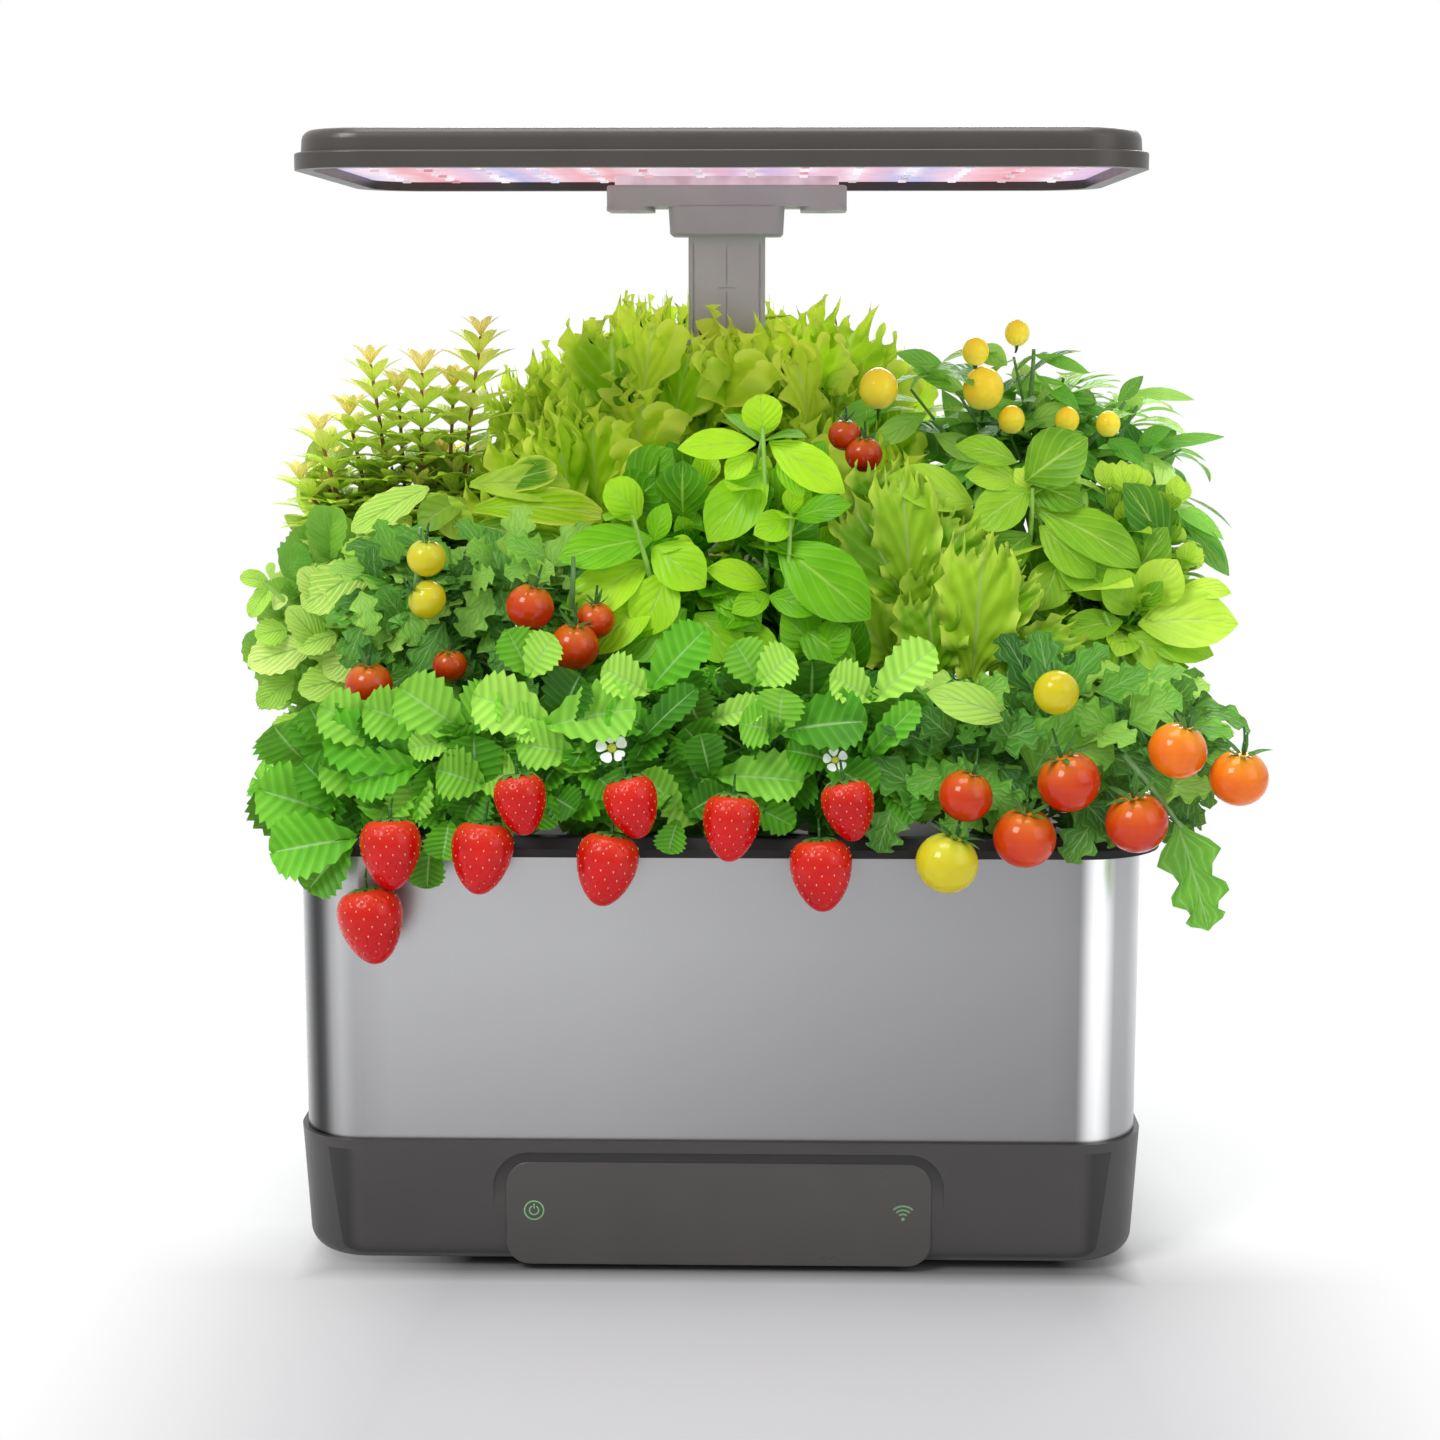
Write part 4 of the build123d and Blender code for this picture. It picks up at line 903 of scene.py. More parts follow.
@dataclass
class Room:
    """The box that a plant's leaves fill, in millimetres."""

    low: Point
    high: Point

    def centre(self) -> Vector:
        """Middle of the box."""
        return (Vector(self.low) + Vector(self.high)) / 2

    def light(self, place: Vector) -> float:
        """How sunny a place is: 1 at the plant's outside, little at its heart and low down."""
        half = (Vector(self.high) - Vector(self.low)) / 2
        away = place - self.centre()
        out = max(abs(away.x) / half.x, abs(away.y) / half.y, away.z / half.z)
        rise = (place.z - self.low[2]) / (self.high[2] - self.low[2])
        return (0.25 + 0.75 * min(1.0, max(0.0, (out - 0.3) / 0.6))) * (
            0.6 + 0.4 * min(1.0, max(0.0, rise / 0.4)))

    def surface_point(self, dice: random.Random, inset: float) -> tuple[Vector, Vector]:
        """A random place on the rounded top or sides, and the direction away from the middle.

        Args:
            dice: random row to use.
            inset: how far inside the box the place lies.

        Returns:
            The place and the outward direction.
        """
        half = (Vector(self.high) - Vector(self.low)) / 2
        around = dice.uniform(0.0, math.tau)
        rise = dice.uniform(-0.35, 1.0)
        flat = math.sqrt(max(0.0, 1.0 - max(rise, 0.0) ** 2))
        out = Vector((math.cos(around) * flat, math.sin(around) * flat, rise))
        square = max(abs(out.x), abs(out.y), abs(out.z), 1e-3)
        shape = out.lerp(out / square, 0.45)
        place = self.centre() + Vector([(h - inset) * s for h, s in zip(half, shape)])
        return place, out.normalized()


@dataclass(frozen=True)
class Spray:
    """Leaves in one upright plane that face the front.

    Each leaf is (foot across, foot height, tip across, tip height, width), in millimetres; a width of
    0 makes a stem.
    """

    blade: Kind
    depth: float
    leaves: list[tuple[float, float, float, float, float]]
    # How sunny the leaves' painted colour is, from 0 to 1
    tone: float = 0.55
    bend: float = 0.8

    def add(self, sprouter: "Sprouter") -> None:
        """Add the leaves to a plant."""
        dice = sprouter.dice
        for number, (foot_x, foot_z, tip_x, tip_z, width) in enumerate(self.leaves):
            drift = (number % 4 - 1.5) * 1.2
            base = Vector((foot_x, self.depth + 5.0 + drift, foot_z))
            tip = Vector((tip_x, self.depth - 3.0 + drift, tip_z))
            if tip_z < RIM_LEVEL and self.depth < RIM_FRONT + 20.0:
                # A leaf that hangs lower than the deck hangs in front of its rim
                base.y = min(base.y, RIM_FRONT)
                tip.y = min(tip.y, RIM_FRONT - 8.0)
            if width == 0:
                sprouter.stem([base + Vector((0.0, 5.0, 0.0)), (base + tip) / 2 + sprouter.jitter(1.5), tip],
                              1.7)
                continue
            face = Vector((dice.uniform(-0.15, 0.15), -1.0, dice.uniform(0.25, 0.6)))
            tone = min(1.0, max(0.0, self.tone + dice.uniform(-0.3, 0.3)))
            sprouter.reach(self.blade, base, tip, face, width, self.bend, tone)


# The leaves that make each plant's face towards the front; the plant's own growth fills in behind them
FRONT_LEAVES: dict[str, list[Spray]] = {
    "basil": [
        Spray(Kind.ROUND, -64, [(19, 382, 18, 399, 19), (-38, 342, -52, 359, 19)], tone=0.95, bend=0.3),
        Spray(Kind.OVAL, -62, [
            (16, 376, -20, 374, 15), (22, 377, 57, 354, 19), (21, 364, -6, 331, 26), (21, 300, 19, 384, 0),
            (26, 370, 38, 352, 12), (14, 372, 2, 360, 12),
        ], tone=0.8),
        Spray(Kind.OVAL, -71, [
            (-31, 332, -24, 350, 12), (-31, 333, -75, 324, 21), (-32, 329, -7, 311, 24),
            (-33, 322, -72, 294, 25), (-30, 305, -40, 344, 0), (-24, 318, -36, 288, 24),
            (-16, 300, -46, 278, 24), (-12, 298, 8, 276, 24), (-30, 306, -60, 280, 22),
        ], tone=0.7),
        Spray(Kind.OVAL, -67, [
            (34, 342, 60, 349, 14), (34, 341, 15, 335, 16), (26, 330, 69, 296, 32), (21, 310, -7, 319, 15),
            (22, 306, 46, 300, 14), (23, 306, 5, 299, 13), (28, 284, 32, 344, 0), (45, 280, 28, 298, 23),
            (44, 280, 60, 292, 18), (36, 292, 62, 272, 22), (10, 296, 20, 268, 22), (-4, 312, 18, 290, 20),
        ], tone=0.6),
    ],
    "tall_basil": [
        Spray(Kind.OVAL, -37, [
            (197, 290, 243, 291, 30), (193, 294, 181, 317, 21), (199, 299, 214, 321, 24),
            (218, 307, 240, 305, 11), (199, 298, 207, 311, 10), (190, 291, 160, 286, 16),
            (193, 285, 215, 269, 19), (202, 266, 221, 270, 10), (188, 280, 166, 266, 20),
            (200, 282, 232, 276, 18), (196, 262, 180, 296, 0),
        ], tone=0.55),
        Spray(Kind.OVAL, -32, [
            (143, 357, 171, 378, 29), (139, 366, 109, 374, 15), (142, 357, 114, 360, 14),
            (145, 356, 170, 346, 19), (145, 353, 118, 336, 22), (148, 344, 198, 317, 24),
            (119, 346, 77, 359, 22), (145, 318, 146, 354, 0), (150, 336, 176, 312, 20),
            (146, 332, 122, 314, 20), (156, 326, 188, 302, 22), (160, 320, 150, 296, 22),
        ], tone=0.4),
    ],
    "ruffled_lettuce": [
        Spray(Kind.FRILL, -34, [
            (88, 296, 60, 348, 36), (90, 296, 84, 362, 34), (92, 296, 116, 340, 36), (96, 286, 70, 316, 32),
        ], tone=0.55, bend=0.5),
        Spray(Kind.FRILL, -44, [
            (118, 262, 122, 330, 40), (122, 280, 145, 314, 24), (84, 270, 56, 300, 34),
            (128, 262, 168, 286, 30), (100, 262, 96, 306, 36), (110, 258, 84, 284, 30),
            (134, 256, 150, 278, 26),
        ], tone=0.8, bend=0.6),
    ],
    "pepper_plant": [
        Spray(Kind.LANCE, 40, [
            (225, 337, 251, 306, 14), (218, 343, 248, 324, 10), (200, 353, 232, 320, 12),
            (200, 396, 232, 393, 7), (195, 392, 206, 405, 8), (209, 369, 247, 375, 7),
            (205, 370, 221, 379, 10), (153, 415, 180, 406, 7), (154, 405, 175, 388, 9),
            (201, 364, 220, 357, 10), (189, 373, 208, 363, 11), (204, 321, 220, 312, 10),
            (124, 419, 139, 410, 12), (149, 381, 174, 388, 13), (84, 392, 52, 378, 14),
            (176, 366, 198, 392, 0), (192, 322, 218, 340, 0), (150, 380, 152, 418, 0),
            (196, 350, 214, 342, 9), (160, 396, 190, 384, 10), (120, 396, 92, 408, 12),
            (112, 404, 84, 416, 12), (128, 392, 150, 380, 13), (100, 386, 72, 370, 13),
            (104, 376, 128, 362, 13), (138, 372, 112, 358, 13), (166, 372, 188, 352, 12),
            (126, 366, 104, 346, 13),
        ], tone=0.5, bend=0.7),
    ],
    "strawberry_plant_left": [
        Spray(Kind.TOOTHED, -119, [
            (-168, 211, -206, 225, 30), (-162, 204, -198, 199, 29), (-164, 202, -182, 182, 24),
            (-133, 236, -176, 250, 28), (-134, 235, -165, 228, 24), (-132, 233, -140, 212, 22),
            (-115, 250, -142, 271, 27), (-114, 251, -98, 269, 23), (-118, 247, -138, 243, 14),
            (-107, 226, -126, 234, 24), (-107, 226, -90, 233, 22), (-107, 226, -114, 211, 23),
            (-120, 211, -136, 219, 18), (-120, 211, -122, 196, 19), (-128, 201, -129, 183, 17),
            (-150, 226, -178, 238, 26), (-168, 214, -186, 238, 24), (-140, 214, -158, 206, 20),
            (-132, 252, -158, 262, 24), (-150, 246, -178, 262, 24),
        ], tone=0.5, bend=0.6),
    ],
    "strawberry_plant_right": [
        Spray(Kind.TOOTHED, -119, [
            (-76, 253, -36, 262, 28), (-77, 254, -109, 268, 27), (-77, 252, -92, 256, 19),
            (-85, 276, -94, 297, 19), (-84, 276, -72, 295, 18), (-30, 270, -5, 298, 22),
            (-32, 268, -52, 280, 20), (18, 272, 7, 292, 20), (19, 273, 34, 287, 20), (70, 265, 96, 290, 21),
            (68, 265, 49, 277, 20), (-5, 255, 21, 263, 14), (-30, 252, -50, 262, 18),
        ], tone=0.75, bend=0.5),
        Spray(Kind.TOOTHED, -122, [
            (28, 251, 66, 257, 28), (26, 251, 9, 256, 20), (27, 252, 29, 272, 22), (0, 230, 38, 229, 24),
            (-4, 232, -8, 252, 19), (-35, 246, -9, 272, 14), (65, 238, 89, 265, 14), (-17, 214, -34, 234, 17),
            (-18, 212, -22, 199, 14), (-14, 214, 4, 226, 17), (8, 220, 34, 209, 16), (-76, 222, -96, 217, 20),
            (-76, 222, -81, 208, 19), (-76, 222, -63, 216, 18), (-62, 236, -46, 224, 20),
            (-40, 238, -58, 250, 20), (48, 236, 70, 226, 20), (50, 238, 30, 244, 20), (74, 226, 88, 212, 18),
            (-66, 240, -90, 246, 22),
        ], tone=0.4, bend=0.6),
    ],
    "tomato_plant_right": [
        Spray(Kind.OVAL, -122, [(130, 258, 92, 270, 18)], tone=0.95),
        Spray(Kind.LOBED, -120, [
            (104, 248, 89, 262, 24), (100, 242, 72, 255, 14), (95, 221, 66, 238, 26), (95, 218, 114, 237, 24),
            (77, 218, 71, 200, 22), (140, 231, 156, 264, 26), (132, 243, 122, 260, 22),
            (178, 251, 156, 262, 22), (192, 227, 219, 227, 20), (183, 255, 205, 269, 24),
            (171, 219, 154, 196, 22), (118, 216, 100, 206, 20), (150, 246, 176, 240, 22),
            (124, 246, 146, 256, 22), (162, 222, 178, 204, 20), (196, 240, 214, 252, 18),
            (120, 226, 136, 214, 20), (104, 232, 84, 226, 22), (170, 268, 190, 280, 18),
            (110, 262, 128, 276, 20),
        ], tone=0.45),
        Spray(Kind.LOBED, -134, [(203, 214, 217, 166, 30), (180, 242, 204, 212, 0)], tone=0.95, bend=0.4),
    ],
    "mint": [
        Spray(Kind.MINT, -38, [
            (-167, 316, -199, 298, 24), (-139, 354, -175, 334, 16), (-197, 278, -226, 270, 21),
            (-182, 271, -204, 286, 16), (-190, 278, -206, 298, 16), (-192, 289, -188, 306, 14),
            (-161, 328, -180, 324, 10), (-186, 248, -214, 218, 25), (-184, 284, -202, 278, 16),
            (-176, 262, -202, 258, 20), (-170, 300, -192, 312, 18), (-160, 310, -178, 326, 18),
            (-186, 300, -200, 316, 16), (-178, 244, -196, 232, 18), (-168, 276, -190, 266, 20),
            (-206, 262, -222, 250, 15), (-196, 240, -216, 236, 17), (-208, 286, -222, 284, 14),
        ], tone=0.6, bend=0.6),
        Spray(Kind.ROUND, -38, [
            (-216, 309, -228, 312, 9), (-215, 307, -224, 293, 9), (-215, 297, -206, 302, 7),
            (-216, 310, -212, 318, 7), (-194, 284, -217, 310, 0),
        ], tone=0.7),
    ],
    "tomato_plant_left": [
        Spray(Kind.LOBED, -78, [
            (-127, 295, -141, 269, 19), (-144, 309, -129, 302, 17), (-146, 295, -156, 312, 18),
            (-148, 305, -138, 284, 19), (-165, 294, -172, 274, 15), (-166, 309, -159, 289, 15),
            (-106, 310, -119, 289, 20), (-102, 309, -96, 296, 14), (-115, 311, -103, 318, 16),
            (-80, 325, -98, 332, 19), (-79, 323, -99, 317, 16), (-105, 322, -116, 331, 17),
            (-148, 322, -156, 343, 14), (-156, 256, -176, 250, 15), (-161, 285, -166, 266, 13),
            (-110, 290, -96, 276, 18), (-92, 286, -104, 272, 18), (-88, 312, -76, 322, 16),
            (-130, 282, -114, 272, 18), (-142, 272, -158, 262, 17), (-120, 264, -138, 256, 16),
            (-70, 290, -67, 326, 0), (-142, 306, -137, 339, 0), (-100, 268, -84, 262, 16),
        ], tone=0.45, bend=0.6),
        Spray(Kind.OVAL, -48, [
            (-130, 240, -116, 276, 26), (-112, 242, -98, 280, 26), (-94, 240, -84, 276, 26),
            (-78, 244, -66, 282, 26), (-60, 248, -44, 284, 26), (-104, 256, -110, 290, 24),
            (-84, 258, -88, 292, 24),
        ], tone=0.15, bend=0.4),
    ],
    "red_stem_herb": [
        Spray(Kind.SMOOTH, 18, [
            (-126, 352, -76, 350, 19), (-148, 350, -183, 329, 16), (-147, 347, -126, 327, 18),
            (-156, 336, -167, 322, 14), (-128, 344, -150, 332, 18),
        ], tone=0.3, bend=0.9),
    ],
    "curly_lettuce": [
        Spray(Kind.SMOOTH, 14, [
            (-124, 340, -60, 338, 20), (-122, 332, -90, 324, 20), (-112, 350, -82, 360, 18),
            (-96, 340, -58, 322, 20), (-112, 328, -70, 318, 18),
        ], tone=0.2, bend=0.9),
    ],
}


@dataclass
class Plant:
    """One plant of the crop: its leaves and stems stand for one CAD solid on the deck."""

    node: str
    slot: str
    pod: tuple[float, float]
    hub: Point
    room: Room
    skin: bpy.types.Material
    stalk: bpy.types.Material
    seed: int
    fill: int
    tips: list[Point] = field(default_factory=list)
    blade: Kind = Kind.OVAL
    leaf: float = 36.0
    breadth: float = 0.62

    def grow(self, sprouter: Sprouter) -> None:
        """Add the plant's leaves and stems; each kind of plant has its own way."""
        raise NotImplementedError

    def build(self, kinds: dict[Kind, Blade]) -> None:
        """Model the plant and put it on the deck.

        Args:
            kinds: the modelled blades.
        """
        sprouter = Sprouter(kinds, self.seed)
        sprouter.room = self.room
        pod = Vector((*self.pod, POD_TOP))
        hub = Vector(self.hub)
        sprouter.stem([pod, Vector((pod.x, pod.y, (pod.z + hub.z) / 2)), hub], 2.6)
        self.grow(sprouter)
        self.back_up(sprouter)
        for spray in FRONT_LEAVES.get(self.node, []):
            spray.add(sprouter)
        leaves = sprouter.leaves_piece(f"{self.node}_leaves", self.skin)
        stems = sprouter.stems_piece(f"{self.node}_stems", self.stalk)
        for piece in (leaves, stems):
            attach(piece, "deck")
        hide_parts(self.node)
        LOG.info("%s: %d leaf faces, %d stem faces", self.node, len(leaves.data.polygons),
                 len(stems.data.polygons))

    def back_up(self, sprouter: Sprouter) -> None:
        """Add shaded leaves in rows across the plant's middle, so that no light shows through it."""
        low, high = Vector(self.room.low), Vector(self.room.high)
        for share in (0.25, 0.7):
            self._back_row(sprouter, low.y + (high.y - low.y) * share)

    def _back_row(self, sprouter: Sprouter, depth: float) -> None:
        """Add one upright layer of shaded leaves at a depth, in millimetres."""
        dice = sprouter.dice
        low, high = Vector(self.room.low), Vector(self.room.high)
        pitch = self.leaf * 0.5
        level = max(LEAF_FLOOR, low.z - 18.0)
        while level < high.z - self.leaf * 0.55:
            across = low.x + self.leaf * 0.35
            while across < high.x - self.leaf * 0.35:
                base = Vector((across, depth + 4.0, level)) + sprouter.jitter(4.0)
                rise = dice.uniform(0.1, 0.9) if level > low.z - 10.0 else dice.uniform(0.0, 0.3)
                tip = base + Vector((dice.uniform(-0.6, 0.6), -0.25, rise)) * self.leaf
                face = Vector((dice.uniform(-0.4, 0.4), -1.0, 0.3))
                sprouter.reach(self.blade, base, tip, face, self.leaf * self.breadth, 0.6,
                               dice.uniform(0.0, 0.3))
                across += pitch
            level += pitch

    def targets(self, sprouter: Sprouter, inset: float) -> list[tuple[Vector, Vector, bool]]:
        """Where sprigs end: the named tips first, then random places over the plant's outside."""
        places = [(Vector(tip), (Vector(tip) - self.room.centre()).normalized(), True) for tip in self.tips]
        for _ in range(self.fill):
            place, out = self.room.surface_point(sprouter.dice, inset)
            places.append((place, out, False))
        return places


@dataclass
class SprigPlant(Plant):
    """A bush of sprigs with leaves in opposite pairs, such as basil and mint."""

    leaf: float = 44.0
    pairs: int = 3
    reach: float = 70.0
    spread: float = 1.15
    bend: float = 0.7

    def grow(self, sprouter: Sprouter) -> None:
        """Add sprigs, each with pairs of leaves that shrink towards its end."""
        dice = sprouter.dice
        for tip, out, named in self.targets(sprouter, self.leaf * 0.35):
            hub = Vector(self.hub)
            course = (tip - hub).lerp(out * (tip - hub).length, 0.3).normalized()
            course = (course + UP * 0.5).normalized()
            start = tip - course * min(self.reach, (tip - hub).length * 0.9)
            sprouter.stem([hub, (hub + start) / 2 + sprouter.jitter(4), start, tip], 1.5)
            turn = dice.uniform(0.0, math.tau)
            for pair in range(self.pairs):
                share = pair / max(1, self.pairs - 1)
                size = self.leaf * (1.0 - 0.5 * share) * dice.uniform(0.85, 1.1)
                base = start.lerp(tip, 0.25 + 0.7 * share)
                side = spoke(course, turn + pair * math.pi / 2)
                for sign in (-1.0, 1.0):
                    along = (side * sign * self.spread + course * (0.45 + 0.5 * share)).normalized()
                    if not named and along.dot(out) < -0.55:
                        continue
                    face = (course + UP * 0.4 + FRONT * 0.3).normalized()
                    sprouter.leaf(self.blade, base, along, face, size, size * self.breadth, self.bend)
            for sign in (-1.0, 1.0):
                side = course.orthogonal().normalized() * sign
                sprouter.leaf(self.blade, tip, course + side * 0.35, FRONT, self.leaf * 0.36,
                              self.leaf * 0.24, 0.3, 0.95)


@dataclass
class WhorlPlant(Plant):
    """Upright stems ringed with narrow leaves, brighter at their ends."""

    blade: Kind = Kind.LANCE
    leaf: float = 29.0
    breadth: float = 0.33
    ring_pitch: float = 9.6

    def grow(self, sprouter: Sprouter) -> None:
        """Add stems with rings of narrow leaves all the way up."""
        dice = sprouter.dice
        for tip, _, _ in self.targets(sprouter, 12.0):
            hub = Vector(self.hub)
            foot = hub.lerp(Vector((tip.x, tip.y, hub.z)), 0.55)
            foot.z = min(hub.z, tip.z - 30)
            sprouter.stem([hub, foot, foot.lerp(tip, 0.5) + sprouter.jitter(3), tip], 1.5)
            rings = max(5, round((tip - foot).length / self.ring_pitch))
            for ring in range(rings):
                share = ring / (rings - 1)
                base = foot.lerp(tip, 0.12 + 0.88 * share)
                length = self.leaf * (1.05 - 0.5 * share ** 3) * dice.uniform(0.9, 1.1)
                turn = dice.uniform(0.0, math.tau)
                for place in range(6):
                    angle = turn + place * math.tau / 6
                    out = Vector((math.cos(angle), math.sin(angle), 0.45 + 1.4 * share ** 4))
                    tone = 1.0 if share > 0.93 else 0.2 + 0.5 * share + dice.uniform(-0.15, 0.15)
                    sprouter.leaf(self.blade, base, out, UP, length, length * self.breadth, 0.6, tone)


@dataclass
class LanceBush(Plant):
    """A branching bush with narrow pointed leaves one at a time, such as a pepper."""

    blade: Kind = Kind.LANCE
    leaf: float = 42.0
    breadth: float = 0.32

    def grow(self, sprouter: Sprouter) -> None:
        """Add forked branches with hanging pointed leaves."""
        dice = sprouter.dice
        for tip, out, _ in self.targets(sprouter, 14.0):
            hub = Vector(self.hub)
            bow = hub.lerp(tip, 0.55) + UP * 12 + sprouter.jitter(7)
            sprouter.stem([hub, hub.lerp(bow, 0.5) + sprouter.jitter(3), bow, tip], 1.3)
            for step in range(7):
                base = bow.lerp(tip, step / 6)
                angle = dice.uniform(0.0, math.tau)
                side = Vector((math.cos(angle), math.sin(angle), dice.uniform(-0.3, 0.35)))
                along = (side + out * 0.9).normalized()
                length = self.leaf * dice.uniform(0.6, 1.05)
                sprouter.leaf(self.blade, base, along, (UP + out * 0.5).normalized(), length,
                              length * self.breadth, dice.uniform(0.5, 1.1))


@dataclass
class Rosette(Plant):
    """Long stalks from the crown, each with three toothed leaflets, as a strawberry has."""

    blade: Kind = Kind.TOOTHED
    leaf: float = 32.0
    breadth: float = 0.84

    def grow(self, sprouter: Sprouter) -> None:
        """Add three-part leaves on stalks."""
        dice = sprouter.dice
        for tip, out, _ in self.targets(sprouter, self.leaf * 0.45):
            hub = Vector(self.hub)
            sprouter.stem([hub, hub.lerp(tip, 0.5) + UP * 10 + sprouter.jitter(4), tip], 1.0)
            face = (UP * 0.75 + out * 0.4 + FRONT * 0.75).normalized()
            heading = (out + UP * 0.35 + sprouter.jitter(0.35)).normalized()
            heading = (heading - face * heading.dot(face)).normalized()
            size = self.leaf * dice.uniform(0.85, 1.15)
            tone = dice.random()
            for turn in (-1.25, 0.0, 1.25):
                along = heading.copy()
                along.rotate(Matrix.Rotation(turn, 3, face))
                scale = 1.0 if turn == 0.0 else 0.9
                sprouter.leaf(self.blade, tip, along, face, size * scale, size * self.breadth * scale,
                              dice.uniform(0.2, 0.7), min(1.0, max(0.0, tone + dice.uniform(-0.15, 0.15))))


@dataclass
class VinePlant(Plant):
    """Stems with compound leaves of several lobed leaflets, as a tomato has."""

    blade: Kind = Kind.LOBED
    leaf: float = 27.0
    breadth: float = 0.66

    def grow(self, sprouter: Sprouter) -> None:
        """Add compound leaves along arching ribs."""
        dice = sprouter.dice
        for tip, out, _ in self.targets(sprouter, self.leaf * 0.4):
            hub = Vector(self.hub)
            bow = hub.lerp(tip, 0.6) + UP * 10 + sprouter.jitter(4)
            sprouter.stem([hub, bow, tip], 1.1)
            course = (tip - bow).normalized()
            face = (UP * 0.7 + FRONT * 0.6 + out * 0.3).normalized()
            side = course.cross(face).normalized()
            size = self.leaf * dice.uniform(0.8, 1.1)
            sprouter.leaf(self.blade, tip, course, face, size * 1.2, size * 0.8, dice.uniform(0.4, 1.0))
            for step in range(2):
                base = bow.lerp(tip, 0.35 + 0.4 * step)
                for sign in (-1.0, 1.0):
                    along = (side * sign + course * 0.45).normalized()
                    length = size * (0.75 + 0.15 * step)
                    sprouter.leaf(self.blade, base, along, face, length, length * self.breadth,
                                  dice.uniform(0.4, 1.0))


@dataclass
class LettuceHead(Plant):
    """Upright frilled leaves in rows from back to front, the back ones taller."""

    blade: Kind = Kind.SPIKY
    leaf: float = 66.0
    breadth: float = 0.74
    rows: int = 6
    pitch: float = 13.0
    drop: float = 46.0

    def crest(self, across: float) -> float:
        """Height of the plant's outline at a place across, in millimetres."""
        near = sorted(self.tips)
        return float(np.interp(across, [tip[0] for tip in near], [tip[2] for tip in near]))

    def grow(self, sprouter: Sprouter) -> None:
        """Add the rows of fans, each leaning away from the heart and turned a little its own way."""
        dice = sprouter.dice
        hub = Vector(self.hub)
        low, high = Vector(self.room.low), Vector(self.room.high)
        for row in range(self.rows):
            share = row / (self.rows - 1)
            depth = high.y + (low.y - high.y) * share
            count = max(3, round((high.x - low.x) / self.pitch))
            for place in range(count + 1):
                across = low.x + (high.x - low.x) * (place + 0.5 * (row % 2)) / (count + 0.5)
                tip = Vector((across + dice.uniform(-6, 6), depth + dice.uniform(-4, 4), 0.0))
                if abs(tip.x) < MAST_HALF and MAST_FRONT < tip.y < MAST_REAR:
                    continue
                # In front of the mast the leaves stay tall, so that they hide its foot
                fall = abs(share - 0.25) * 1.2 * (0.15 if abs(tip.x) < MAST_HALF + 10 else 1.0)
                tip.z = self.crest(across) - self.drop * min(1.0, fall) - dice.uniform(0.0, 16.0)
                lean = tip - hub
                base = Vector((hub.x + lean.x * 0.7, hub.y + lean.y * 0.6, 0.0))
                base.z = max(low.z + 4.0, tip.z - self.leaf * dice.uniform(0.7, 1.0))
                out = Vector((lean.x, lean.y, 0.0)).normalized() if lean.xy.length > 6 else FRONT
                face = Vector((dice.uniform(-0.7, 0.7), -0.9, 0.3)) - out * 0.4
                width = self.leaf * self.breadth * dice.uniform(0.7, 1.1)
                # Painted light: the rows further to the front get a sunnier tone
                tone = min(1.0, max(0.0, 0.5 + 0.2 * share + dice.uniform(-0.35, 0.35)))
                sprouter.reach(self.blade, base, tip, face.normalized(), width, dice.uniform(0.1, 0.9), tone)
                sprouter.stem([hub, (hub + base) / 2, base + (tip - base) * 0.1], 2.2)


